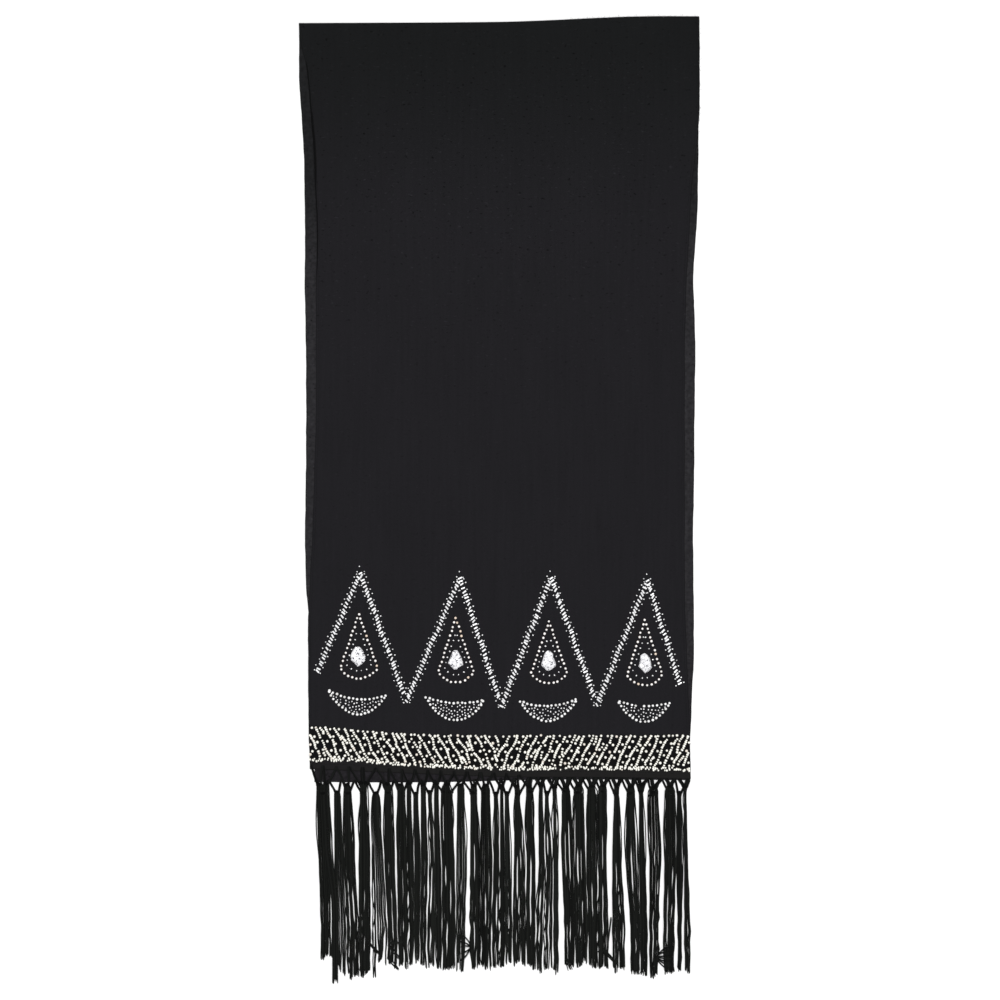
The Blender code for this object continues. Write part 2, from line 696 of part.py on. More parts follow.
def make_border():
    """Make the border: slanting ridges for its bead lines, and a crust along its foot."""
    left = edge_x("upper_left", BORDER_LEVEL) + BORDER_INSET
    right = edge_x("upper_right", BORDER_LEVEL) - BORDER_INSET
    lines = round((right - left) / BORDER_LINE_PITCH)
    rings = []
    for i in range(2 * lines + 1):
        middle = mix(left, right, i / (2 * lines))
        lean = border_lean(middle, left, right)
        ridge = BORDER_PEAK if i % 2 else BORDER_VALLEY
        head_x, foot_x = middle - lean, middle + lean
        crust_x = mix(foot_x, head_x, CRUST_SLANT)
        head_y = read_curve(BORDER_TOP, head_x)
        foot_y = read_curve(BORDER_FOOT, foot_x)
        crust_y = read_curve(BORDER_FOOT, crust_x) + CRUST_DEPTH
        low = BEAD_SEAT
        rings.append([
            (head_x, head_y, low),
            (foot_x, foot_y, low),
            (foot_x, foot_y, low + CRUST_RIM),
            (mix(foot_x, crust_x, 0.5), mix(foot_y, crust_y, 0.5), low + CRUST_THICKNESS),
            (crust_x, crust_y, low + ridge),
            (head_x, head_y, low + ridge),
        ])
    return make_piece("border_beading", *loft(rings), GOLD_PEARL)


# ---------------------------------------------------------------------------------------------------
# The whole stole
# ---------------------------------------------------------------------------------------------------

def clear_scene():
    """Remove every object that the scene starts with."""
    for item in list(bpy.data.objects):
        bpy.data.objects.remove(item, do_unlink=True)


def build_stole():
    """Make every piece of the stole."""
    make_upper_half()
    make_under_half()
    make_fringe(UPPER_FRINGE)
    make_fringe(UNDER_FRINGE)
    make_zigzag()
    for number, drop in enumerate(DROPS, start=1):
        make_drop(number, drop)
        make_stone(number, drop)
    for number, crescent in enumerate(CRESCENTS, start=1):
        make_crescent(number, crescent)
    make_border()


clear_scene()
build_stole()
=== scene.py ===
"""Looks of an evening stole: black crepe folded once across its length, beaded and fringed.

The frame's solids give every place and size. Each class below makes one sub-assembly on the solids that
it stands for: the cloth layers, the fringes, the zigzag, the drops with their foil stones, the crescents
and the border. Lengths are in metres, +X to the right across the stole, +Y towards the fold, +Z up.
"""

import logging
import math
import random
from collections.abc import Callable, Iterable, Sequence
from dataclasses import dataclass
from enum import Enum

import bpy
import numpy as np
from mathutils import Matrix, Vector
from mathutils.bvhtree import BVHTree


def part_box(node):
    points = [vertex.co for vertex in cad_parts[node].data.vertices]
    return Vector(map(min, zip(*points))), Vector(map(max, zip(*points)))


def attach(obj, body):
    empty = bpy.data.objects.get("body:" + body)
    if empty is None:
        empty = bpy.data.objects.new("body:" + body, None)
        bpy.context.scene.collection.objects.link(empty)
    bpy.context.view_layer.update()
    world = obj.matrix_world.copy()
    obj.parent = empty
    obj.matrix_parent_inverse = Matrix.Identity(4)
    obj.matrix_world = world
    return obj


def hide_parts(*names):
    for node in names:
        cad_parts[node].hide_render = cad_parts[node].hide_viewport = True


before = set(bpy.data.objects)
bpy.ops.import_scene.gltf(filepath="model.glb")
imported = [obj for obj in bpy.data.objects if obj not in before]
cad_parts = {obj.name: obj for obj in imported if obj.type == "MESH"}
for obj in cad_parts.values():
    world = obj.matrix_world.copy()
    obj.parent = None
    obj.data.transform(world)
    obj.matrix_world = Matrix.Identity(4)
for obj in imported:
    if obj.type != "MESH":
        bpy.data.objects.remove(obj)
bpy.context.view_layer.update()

LOG = logging.getLogger("stole")
MM = 0.001
BODY = "root"

# The zigzag's middle line, as the solid has it: (x, y) of its ends, peaks and valleys.
ZIGZAG_LINE = (
    (-0.2269, -0.2131), (-0.1733, -0.0900), (-0.1156, -0.2500), (-0.0488, -0.0963), (0.0031, -0.2563),
    (0.0650, -0.0956), (0.1225, -0.2538), (0.1856, -0.0994), (0.2263, -0.2288),
)

# Rays that look for a surface below them start at this height.
RAY_TOP = 0.05

Colour = tuple[float, float, float]
Line = np.ndarray
Height = Callable[[float, float], float]
Socket = bpy.types.NodeSocket


class Slot(Enum):
    """Names of the pieces' material slots."""

    CREPE = "crepe"
    THREAD = "fringe_thread"
    GLASS = "bugle_glass"
    PEARL = "pearl"
    GOLD = "gold_pearl"
    FOIL = "foil"


class Input(Enum):
    """Kinds of socket that a node group may have."""

    SIZE = "NodeSocketFloat"
    COUNT = "NodeSocketInt"
    PLACE = "NodeSocketVector"
    COLOUR = "NodeSocketColor"
    FINISH = "NodeSocketMaterial"
    SHAPE = "NodeSocketGeometry"


class BeadKind(Enum):
    """Shapes of bead: a round pearl, or a seed bead with an open hole."""

    ROUND = "round"
    SEED = "seed"


# ---------------------------------------------------------------------------------------------------
# Numbers and lines
# ---------------------------------------------------------------------------------------------------

def mix(low: float, high: float, share: float) -> float:
    """Return the value a share of the way from low to high."""
    return low + (high - low) * share


def ease(share: np.ndarray | float) -> np.ndarray | float:
    """Return a smooth step of a share, held between 0 and 1."""
    share = np.clip(share, 0.0, 1.0)
    return share * share * (3.0 - 2.0 * share)


def window(place: np.ndarray, low: object, high: object, fade: float,
           high_fade: float | None = None) -> np.ndarray:
    """Return a share that is 1 between two places and 0 outside them.

    Args:
        place: Where it is read.
        low: Where it starts to rise.
        high: Where it has fallen again.
        fade: Over what distance it rises, and falls as well if high_fade isn't given.
        high_fade: Over what distance it falls.

    Returns:
        The share at each place.
    """
    return ease((place - low) / fade) * ease((high - place) / (high_fade or fade))


def softened(values: np.ndarray, reach: int) -> np.ndarray:
    """Even out the bends of evenly spaced values.

    Args:
        values: The values along a line.
        reach: How many neighbours on each side take part.

    Returns:
        As many values, with their corners rounded.
    """
    kernel = np.hanning(2 * reach + 3)[1:-1]
    padded = np.pad(values, reach, mode="reflect", reflect_type="odd")
    return np.convolve(padded, kernel / kernel.sum(), mode="valid")


def softened_grid(grid: np.ndarray, reach: int) -> np.ndarray:
    """Return a grid of heights with its facets evened out both ways."""
    rows = np.array([softened(row, reach) for row in grid])
    return np.array([softened(column, reach) for column in rows.T]).T


def ripple(rng: np.random.Generator, places: np.ndarray, wavelengths: Sequence[float]) -> np.ndarray:
    """Add up sine waves with random phases.

    Args:
        rng: Source of the phases.
        places: Where along a line the ripple is read.
        wavelengths: The waves, each a little weaker than the one before.

    Returns:
        A value from about -1 to 1 at each place.
    """
    total = np.zeros_like(places, dtype=float)
    for rank, wavelength in enumerate(wavelengths):
        total += np.sin(2 * math.pi * places / wavelength + rng.uniform(0, 2 * math.pi)) / (1.0 + 0.6 * rank)
    return total / len(wavelengths)


def walked(line: Line) -> np.ndarray:
    """Return how far along a line each of its points is."""
    return np.concatenate([[0.0], np.cumsum(np.linalg.norm(np.diff(line, axis=0), axis=1))])


def along(line: Line, pitch: float) -> Line:
    """Return a line's points again at about an even pitch."""
    run = walked(line)
    places = np.linspace(0.0, run[-1], max(2, round(run[-1] / pitch) + 1))
    return np.stack([np.interp(places, run, side) for side in line.T], axis=1)


def seated(line: Line, height: Height, lift: float) -> Line:
    """Lay a flat line on the cloth.

    Args:
        line: Points as (x, y).
        height: The cloth's height at a place.
        lift: How far above the cloth the line runs.

    Returns:
        Points as (x, y, z).
    """
    return np.array([(x, y, height(x, y) + lift) for x, y in line[:, :2]])


# ---------------------------------------------------------------------------------------------------
# The frame's solids
# ---------------------------------------------------------------------------------------------------

class Solid:
    """Reads places off one solid of the frame."""

    def __init__(self, node: str) -> None:
        """Keep the points and edges of the solid called node."""
        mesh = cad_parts[node].data
        points = np.empty(len(mesh.vertices) * 3, np.float32)
        mesh.vertices.foreach_get("co", points)
        ends = np.empty(len(mesh.edges) * 2, np.int32)
        mesh.edges.foreach_get("vertices", ends)
        self.points = points.reshape(-1, 3).astype(float)
        self.edges = ends.reshape(-1, 2)
        self.low, self.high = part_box(node)
        self.mesh = mesh

    def crossing(self, axis: int, places: Iterable[float]) -> tuple[np.ndarray, np.ndarray]:
        """Cut the solid's plan at several places along one axis.

        Args:
            axis: 0 to cut at an x, 1 to cut at a y.
            places: Where it is cut.

        Returns:
            The lowest and the highest value along the other axis, at each place.
        """
        run = self.points[self.edges, axis]
        side = self.points[self.edges, 1 - axis]
        lows = []
        highs = []
        for place in places:
            cut = (run[:, 0] <= place) != (run[:, 1] <= place)
            share = (place - run[cut, 0]) / (run[cut, 1] - run[cut, 0])
            hits = side[cut, 0] + (side[cut, 1] - side[cut, 0]) * share
            lows.append(hits.min())
            highs.append(hits.max())
        return np.array(lows), np.array(highs)


def mesh_tree(mesh: bpy.types.Mesh) -> BVHTree:
    """Return a search tree over a mesh's faces."""
    return BVHTree.FromPolygons([v.co for v in mesh.vertices], [p.vertices[:] for p in mesh.polygons])


def height_on(tree: BVHTree, x: float, y: float, spare: float) -> float:
    """Return the height of the uppermost face at a place, or the spare one where there is no face."""
    hit = tree.ray_cast(Vector((x, y, RAY_TOP)), Vector((0.0, 0.0, -1.0)))[0]
    return hit.z if hit else spare


@dataclass
class Edge:
    """An edge of a solid's plan: one coordinate by the other."""

    places: np.ndarray
    values: np.ndarray

    def __call__(self, place: np.ndarray | float) -> np.ndarray:
        """Return where the edge is at a place."""
        return np.interp(place, self.places, self.values)


class Outline:
    """The smooth outline of a cloth layer: the x of its sides by y, and the y of its ends by x."""

    STEPS = 320
    REACH = 9
    END_SHARE = 0.35        # the ends are first looked for this far out to both sides, and in the middle
    LEAN = 8 * MM           # the side edges are read this far inside the ends
    CORNER = 2 * MM         # and the ends this far inside the corners

    def __init__(self, node: str) -> None:
        """Read the outline of the solid called node."""
        self.solid = Solid(node)
        low, high = self.solid.low, self.solid.high
        hem, head = self.solid.crossing(0, (self.END_SHARE * low.x, 0.0, self.END_SHARE * high.x))
        levels = np.linspace(hem.max() + self.LEAN, head.min() - self.LEAN, self.STEPS)
        left, right = self.solid.crossing(1, levels)
        self.left, self.right = (Edge(levels, softened(side, self.REACH)) for side in (left, right))
        self.hem, self.head = (self.end(rank, left[-rank], right[-rank]) for rank in (0, 1))
        self.width = float(np.mean(self.right.values - self.left.values))

    def end(self, rank: int, left: float, right: float) -> Edge:
        """Return the lower end, number 0, or the upper one, number 1, between its two corners."""
        columns = np.linspace(left + self.CORNER, right - self.CORNER, self.STEPS)
        return Edge(columns, softened(self.solid.crossing(0, columns)[rank], self.REACH))


class Band:
    """The beaded border's lower and upper edge by x."""

    STEPS = 160
    REACH = 5

    def __init__(self, node: str) -> None:
        """Read the edges of the solid called node."""
        solid = Solid(node)
        self.left, self.right = solid.low.x, solid.high.x
        columns = np.linspace(self.left + 1 * MM, self.right - 1 * MM, self.STEPS)
        edges = solid.crossing(0, columns)
        self.foot, self.head = (Edge(columns, softened(edge, self.REACH)) for edge in edges)


# ---------------------------------------------------------------------------------------------------
# Node trees
# ---------------------------------------------------------------------------------------------------

class NodeTree:
    """Adds nodes to a tree and joins their sockets."""

    def __init__(self, tree: bpy.types.NodeTree) -> None:
        """Work on the given tree."""
        self.tree = tree

    @staticmethod
    def output(value: object) -> object:
        """Return a node's first working output, or the value itself."""
        if isinstance(value, bpy.types.Node):
            return next(socket for socket in value.outputs if socket.enabled)
        return value

    def feed(self, socket: Socket, value: object) -> None:
        """Join a socket to a node or an output, or set its value."""
        value = self.output(value)
        if isinstance(value, bpy.types.NodeSocket):
            self.tree.links.new(value, socket)
        else:
            socket.default_value = value

    def add(self, kind: str, inputs: dict | None = None, **settings: object) -> bpy.types.Node:
        """Add one node.

        Args:
            kind: The node's type.
            inputs: What each input gets, by name or by number: a value, an output or a node.
            settings: Properties of the node, set before its inputs.

        Returns:
            The new node.
        """
        node = self.tree.nodes.new(kind)
        for name, value in settings.items():
            setattr(node, name, value)
        for key, value in (inputs or {}).items():
            if isinstance(key, int):
                socket = node.inputs[key]
            else:
                socket = next(s for s in node.inputs if s.name == key and s.enabled)
            self.feed(socket, value)
        return node

    def sum(self, operation: str, first: object, second: object = 0.0) -> Socket:
        """Return the result of a sum, such as SUBTRACT, of one or two numbers."""
        return self.output(self.add("ShaderNodeMath", {0: first, 1: second}, operation=operation))

    def plus(self, first: object, second: object) -> Socket:
        """Return one number plus another."""
        return self.sum("ADD", first, second)

    def times(self, first: object, second: object) -> Socket:
        """Return one number times another."""
        return self.sum("MULTIPLY", first, second)

    def scaled(self, vector: object, amount: object) -> Socket:
        """Return a vector or a colour times a number."""
        return self.output(self.add("ShaderNodeVectorMath", {0: vector, "Scale": amount}, operation="SCALE"))

    def vector(self, x: object, y: object, z: object) -> Socket:
        """Return the vector of three values."""
        return self.output(self.add("ShaderNodeCombineXYZ", {"X": x, "Y": y, "Z": z}))

    def parts(self, vector: object) -> bpy.types.NodeOutputs:
        """Return a vector's X, Y and Z."""
        return self.add("ShaderNodeSeparateXYZ", {"Vector": vector}).outputs

    def noise(self, place: object, scale: object, detail: float, roughness: float = 0.5) -> Socket:
        """Return smooth noise from 0 to 1, finer the larger its scale and its detail."""
        kind = {"Vector": place, "Scale": scale, "Detail": detail, "Roughness": roughness}
        return self.output(self.add("ShaderNodeTexNoise", kind))

    def mark(self, name: str) -> bpy.types.NodeOutputs:
        """Return what a named attribute says, as Fac or Vector."""
        return self.add("ShaderNodeAttribute", attribute_name=name).outputs

    def blend(self, share: object, first: object, second: object) -> Socket:
        """Return two colours mixed by a share."""
        node = self.add("ShaderNodeMix", data_type="RGBA")
        for name, kind, value in (("Factor", "VALUE", share), ("A", "RGBA", first), ("B", "RGBA", second)):
            self.feed(next(s for s in node.inputs if s.name == name and s.type == kind), value)
        return next(s for s in node.outputs if s.type == "RGBA")

    def remap(self, value: object, low: float, high: float, to_low: float = 0.0,
              to_high: float = 1.0) -> Socket:
        """Return a value mapped from one range to another, smoothly and held at its ends."""
        ends = {0: value, 1: low, 2: high, 3: to_low, 4: to_high}
        return self.output(self.add("ShaderNodeMapRange", ends, interpolation_type="SMOOTHSTEP"))


class Group(NodeTree):
    """A node group with named inputs and outputs."""

    def __init__(self, name: str, kind: str, inputs: dict[str, Input], outputs: dict[str, Input]) -> None:
        """Make the group and its sockets."""
        super().__init__(bpy.data.node_groups.new(name, kind))
        for side, sockets in (("OUTPUT", outputs), ("INPUT", inputs)):
            for label, socket in sockets.items():
                self.tree.interface.new_socket(name=label, in_out=side, socket_type=socket.value)
        self.given = self.tree.nodes.new("NodeGroupInput").outputs
        self.end = self.tree.nodes.new("NodeGroupOutput")

    def close(self, **results: object) -> bpy.types.NodeTree:
        """Join the group's outputs and return its tree."""
        for label, value in results.items():
            self.feed(self.end.inputs[label], value)
        return self.tree


class GeometryTree(Group):
    """A Geometry Nodes tree with named inputs, which ends in Realize Instances and Set Material."""

    def __init__(self, name: str, sizes: Sequence[str], count: str = "Seed") -> None:
        """Make the tree, whose inputs are the geometry, the sizes, a whole number and the finish."""
        inputs = {"Geometry": Input.SHAPE, **dict.fromkeys(sizes, Input.SIZE), count: Input.COUNT,
                  "Finish": Input.FINISH}
        super().__init__(name, "GeometryNodeTree", inputs, {"Geometry": Input.SHAPE})

    def chance(self, kind: str, low: object, high: object, seed_step: int) -> Socket:
        """Return a random value for each element.

        Args:
            kind: FLOAT or FLOAT_VECTOR.
            low: The lowest value.
            high: The highest value.
            seed_step: Added to the tree's Seed, so that two draws differ.

        Returns:
            The random value's output.
        """
        seed = self.plus(self.given["Seed"], float(seed_step))
        draw = {"Min": low, "Max": high, "Seed": seed}
        return self.output(self.add("FunctionNodeRandomValue", draw, data_type=kind))

    def varied(self, seed_step: int) -> Socket:
        """Return a random size about 1, off it by the tree's Spread at most."""
        low, high = (self.sum(way, 1.0, self.given["Spread"]) for way in ("SUBTRACT", "ADD"))
        return self.chance("FLOAT", low, high, seed_step)

    def kept(self, seed_step: int) -> Socket:
        """Return True for each element that isn't left out, where Missing is the share left out."""
        draw = {"A": self.chance("FLOAT", 0.0, 1.0, seed_step), "B": self.given["Missing"]}
        test = self.add("FunctionNodeCompare", draw, data_type="FLOAT", operation="GREATER_EQUAL")
        return self.output(test)

    def marked(self, geometry: object, name: str, value: object, kind: str = "FLOAT",
               domain: str = "POINT") -> Socket:
        """Return the geometry with a named attribute stored on it."""
        mark = {"Geometry": geometry, "Name": name, "Value": value}
        return self.output(self.add("GeometryNodeStoreNamedAttribute", mark, data_type=kind, domain=domain))

    def line(self) -> Socket:
        """Return the tree's geometry as curves."""
        return self.output(self.add("GeometryNodeMeshToCurve", {"Mesh": self.given["Geometry"]}))

    def row(self) -> bpy.types.NodeOutputs:
        """Return Points at the tree's Pitch along its lines, with their Tangent and Rotation."""
        walk = {"Curve": self.line(), "Length": self.given["Pitch"]}
        return self.add("GeometryNodeCurveToPoints", walk, mode="LENGTH").outputs

    def turned(self, rotation: object, angle: object) -> Socket:
        """Return a rotation that is turned about the upright as well."""
        turn = self.add("FunctionNodeAxisAngleToRotation", {"Axis": (0.0, 0.0, 1.0), "Angle": angle})
        both = {"Rotation": rotation, "Rotate By": turn}
        return self.output(self.add("FunctionNodeRotateRotation", both, rotation_space="GLOBAL"))

    def spun(self, low: Colour, high: Colour, seed_step: int) -> Socket:
        """Return a random rotation between two sets of three angles."""
        angles = self.chance("FLOAT_VECTOR", low, high, seed_step)
        return self.output(self.add("FunctionNodeEulerToRotation", {"Euler": angles}))

    def circle(self, sides: object, size: object, share: float = 0.5) -> Socket:
        """Return a circle whose radius is a share of a size."""
        shape = {"Resolution": sides, "Radius": self.times(size, share)}
        return self.output(self.add("GeometryNodeCurvePrimitiveCircle", shape))

    def ball(self, segments: int, rings: int, size: object) -> Socket:
        """Return a ball of a diameter."""
        shape = {"Segments": segments, "Rings": rings, "Radius": self.times(size, 0.5)}
        return self.output(self.add("GeometryNodeMeshUVSphere", shape))

    def shaped(self, geometry: object, **change: object) -> Socket:
        """Return a geometry with another Scale, Rotation or Translation."""
        return self.output(self.add("GeometryNodeTransform", {"Geometry": geometry, **change}))

    def swept(self, curve: object, section: object, **more: object) -> Socket:
        """Return the solid that a section makes along a curve."""
        return self.output(self.add("GeometryNodeCurveToMesh", {
            "Curve": curve, "Profile Curve": section, **{key.replace("_", " "): more[key] for key in more}}))

    def bead(self, kind: BeadKind) -> Socket:
        """Return one bead with its hole along Z, as large as the tree's Bead."""
        size = self.given["Bead"]
        if kind is BeadKind.ROUND:
            return self.ball(10, 7, size)
        wall = self.shaped(self.circle(6, size, 0.20), Scale=(1.0, 1.9, 1.0))
        return self.swept(self.circle(9, size, 0.30), wall)

    def planted(self, points: object, shape: object, rotation: object, scale: object, kept: object = True,
                tint_step: int = 0) -> bpy.types.NodeTree:
        """Finish the tree with a copy of a shape at each point.

        Args:
            points: Where the copies go.
            shape: What is copied.
            rotation: How each copy is turned.
            scale: Its size, as a share of the shape's.
            kept: False for each point that gets no copy.
            tint_step: If not 0, each copy is marked with a random tint, drawn with this seed step.

        Returns:
            The tree.
        """
        plan = {"Points": points, "Instance": shape, "Rotation": rotation, "Scale": scale, "Selection": kept}
        copies = self.add("GeometryNodeInstanceOnPoints", plan)
        if tint_step:
            tint = self.chance("FLOAT", 0.0, 1.0, tint_step)
            copies = self.marked(copies, "tint", tint, domain="INSTANCE")
        return self.finished(copies)

    def finished(self, geometry: object) -> bpy.types.NodeTree:
        """Finish the tree with its last three nodes and return it."""
        real = self.add("GeometryNodeRealizeInstances", {"Geometry": geometry})
        smooth = self.add("GeometryNodeSetShadeSmooth", {"Geometry": real})
        dressed = self.add("GeometryNodeSetMaterial", {"Geometry": smooth, "Material": self.given["Finish"]})
        return self.close(Geometry=dressed)


def placed(name: str, data: bpy.types.ID) -> bpy.types.Object:
    """Return a new object in the scene, at the origin, with the given mesh, lamp or camera."""
    thing = bpy.data.objects.new(name, data)
    bpy.context.scene.collection.objects.link(thing)
    return thing


def new_mesh(name: str, points: Sequence, edges: Sequence, faces: Sequence,
             **marks: np.ndarray) -> bpy.types.Mesh:
    """Make a mesh.

    Args:
        name: Its name.
        points: Each point's (x, y, z).
        edges: The loose edges, as pairs of points.
        faces: The faces, each as its points in order.
        marks: For each named attribute, its value on every point.

    Returns:
        The mesh.
    """
    mesh = bpy.data.meshes.new(name)
    mesh.from_pydata(points, edges, faces)
    for label, values in marks.items():
        layer = mesh.attributes.new(label, "FLOAT", "POINT")
        layer.data.foreach_set("value", values.astype(np.float32))
    return mesh


def grow(carrier: bpy.types.Mesh, tree: bpy.types.NodeTree, **values: object) -> bpy.types.Mesh:
    """Run a geometry tree on a mesh.

    Args:
        carrier: The lines or faces that the tree starts from.
        tree: The tree.
        values: What its named inputs get.

    Returns:
        The result as a plain mesh.
    """
    holder = placed("carrier", carrier)
    modifier = holder.modifiers.new(tree.name, "NODES")
    modifier.node_group = tree
    for item in tree.interface.items_tree:
        if item.in_out == "INPUT" and item.name in values:
            modifier[item.identifier] = values[item.name]
    graph = bpy.context.evaluated_depsgraph_get()
    mesh = bpy.data.meshes.new_from_object(holder.evaluated_get(graph))
    bpy.data.objects.remove(holder)
    return mesh


def wires(lines: Sequence[Line], closed: bool = False, **marks: Sequence[np.ndarray]) -> bpy.types.Mesh:
    """Make a mesh of edges that follow several lines.

    Args:
        lines: Each line's points as (x, y, z); a line of one point makes a loose point.
        closed: Whether each line ends where it starts.
        marks: For each named attribute, its values on each line's points.

    Returns:
        The mesh, for a geometry tree to work on.
    """
    edges = []
    start = 0
    for line in lines:
        end = start + len(line)
        edges += [(i, i + 1) for i in range(start, end - 1)]
        if closed:
            edges.append((end - 1, start))
        start = end
    joined = {name: np.concatenate(values) for name, values in marks.items()}
    return new_mesh("wires", np.concatenate(lines).tolist(), edges, [], **joined)


def bead_row_tree(kind: BeadKind) -> bpy.types.NodeTree:
    """Make the tree that strings beads along lines, a little unevenly, as a hand sews them."""
    tree = GeometryTree(f"{kind.value}_bead_row", ("Pitch", "Bead", "Spread", "Wander", "Missing"))
    row = tree.row()
    away = tree.chance("FLOAT_VECTOR", (-1.0, -1.0, 0.0), (1.0, 1.0, 0.0), 1)
    offset = tree.scaled(away, tree.given["Wander"])
    moved = tree.add("GeometryNodeSetPosition", {"Geometry": row["Points"], "Offset": offset})
    turned = tree.turned(row["Rotation"], tree.chance("FLOAT", -0.35, 0.35, 3))
    return tree.planted(moved, tree.bead(kind), turned, tree.varied(4), tree.kept(2), tint_step=5)


def bead_fill_tree() -> bpy.types.NodeTree:
    """Make the tree that fills a patch of cloth with small beads, never nearer than their pitch."""
    tree = GeometryTree("bead_fill", ("Pitch", "Density", "Bead", "Spread"))
    sewn = tree.add("GeometryNodeDistributePointsOnFaces", {
        "Mesh": tree.given["Geometry"], "Distance Min": tree.given["Pitch"],
        "Density Max": tree.given["Density"], "Seed": tree.given["Seed"]}, distribute_method="POISSON")
    spin = tree.spun((0.0, 1.45, 0.0), (0.0, 1.70, 6.28), 1)
    return tree.planted(sewn, tree.bead(BeadKind.SEED), spin, tree.varied(2), tint_step=3)


def bugle_row_tree() -> bpy.types.NodeTree:
    """Make the tree that sews glass bars across lines, slanted one way as a line climbs, else the other."""
    tree = GeometryTree("bugle_row", ("Pitch", "Bead", "Length", "Wall", "Slant", "Turn", "Wander"))
    given, row = tree.given, tree.row()
    slide = tree.times(tree.chance("FLOAT", -1.0, 1.0, 1), given["Wander"])
    moved = tree.add("GeometryNodeSetPosition", {
        "Geometry": row["Points"], "Offset": tree.scaled(row["Tangent"], slide)})
    ahead = tree.parts(row["Tangent"])
    climb = tree.sum("SIGN", tree.times(ahead["Y"], tree.sum("SIGN", ahead["X"])))
    sway = tree.times(tree.chance("FLOAT", -1.0, 1.0, 2), given["Turn"])
    turn = tree.plus(tree.times(climb, given["Slant"]), sway)
    section = {"Width": given["Wall"], "Height": given["Length"]}
    wall = tree.add("GeometryNodeCurvePrimitiveQuadrilateral", section)
    bar = tree.swept(tree.circle(8, tree.sum("SUBTRACT", given["Bead"], given["Wall"])), wall)
    size = tree.chance("FLOAT", 0.90, 1.08, 3)
    return tree.planted(moved, bar, tree.turned(row["Rotation"], turn), size, tint_step=4)


def thread_tree() -> bpy.types.NodeTree:
    """Make the tree that spins a thread round each line, thinned by the line's own taper."""
    tree = GeometryTree("thread", ("Thickness",), "Sides")
    run = tree.add("GeometryNodeSplineParameter").outputs["Length"]
    unit = tree.add("ShaderNodeVectorMath", {0: tree.add("GeometryNodeInputPosition")}, operation="NORMALIZE")
    section = tree.marked(tree.circle(tree.given["Sides"], tree.given["Thickness"]), "round", unit,
                          "FLOAT_VECTOR")
    taper = tree.add("GeometryNodeInputNamedAttribute", {"Name": "taper"}, data_type="FLOAT")
    line = tree.marked(tree.line(), "run", run)
    return tree.finished(tree.swept(line, section, Scale=taper, Fill_Caps=True))


def knot_tree() -> bpy.types.NodeTree:
    """Make the tree that ties a wrapped knot at each point, round the fringe's own direction."""
    tree = GeometryTree("knot", ("Width", "Depth", "Height", "Thickness", "Turns"))
    given = tree.given
    half = tree.times(given["Width"], 0.5)
    coil = tree.add("GeometryNodeCurveSpiral", {
        "Resolution": 12, "Rotations": given["Turns"], "Start Radius": half,
        "End Radius": tree.times(half, 0.8), "Height": given["Height"]})
    squash = tree.sum("DIVIDE", given["Depth"], given["Width"])
    laid = tree.shaped(coil, Scale=tree.vector(1.0, squash, 1.0), Rotation=(math.pi / 2, 0.0, 0.0))
    cord = tree.swept(laid, tree.circle(5, given["Thickness"]), Fill_Caps=True)
    points = tree.add("GeometryNodeMeshToPoints", {"Mesh": given["Geometry"]})
    tilt = tree.spun((-0.1, -0.2, -0.35), (0.1, 0.2, 0.35), 1)
    return tree.planted(points, cord, tilt, tree.chance("FLOAT", 0.9, 1.12, 2))


def stitch_tree() -> bpy.types.NodeTree:
    """Make the tree that sews a row of short stitches along lines."""
    tree = GeometryTree("stitch_row", ("Pitch", "Length", "Thickness", "Slant"))
    given, row = tree.given, tree.row()
    drawn = tree.vector(1.0, 1.0, tree.sum("DIVIDE", given["Length"], given["Thickness"]))
    stitch = tree.shaped(tree.ball(6, 4, given["Thickness"]), Scale=drawn)
    turn = tree.plus(tree.chance("FLOAT", -0.12, 0.12, 1), given["Slant"])
    size = tree.chance("FLOAT", 0.85, 1.1, 2)
    return tree.planted(row["Points"], stitch, tree.turned(row["Rotation"], turn), size)


def lint_tree() -> bpy.types.NodeTree:
    """Make the tree that stands short stray fibres along lines, each a thin arc."""
    tree = GeometryTree("lint", ("Pitch", "Reach", "Thickness", "Missing"))
    given, row = tree.given, tree.row()
    arc = tree.add("GeometryNodeCurveArc", {
        "Resolution": 5, "Radius": given["Reach"], "Start Angle": 0.0, "Sweep Angle": 1.3})
    stood = tree.shaped(arc, Translation=tree.scaled(tree.vector(given["Reach"], 0.0, 0.0), -1.0))
    fibre = tree.swept(stood, tree.circle(3, given["Thickness"]), Fill_Caps=True)
    spin = tree.spun((-0.6, -0.6, -2.2), (0.6, 0.6, 2.2), 1)
    return tree.planted(row["Points"], fibre, spin, tree.chance("FLOAT", 0.35, 1.3, 3), tree.kept(2))


# ---------------------------------------------------------------------------------------------------
# Finishes
# ---------------------------------------------------------------------------------------------------

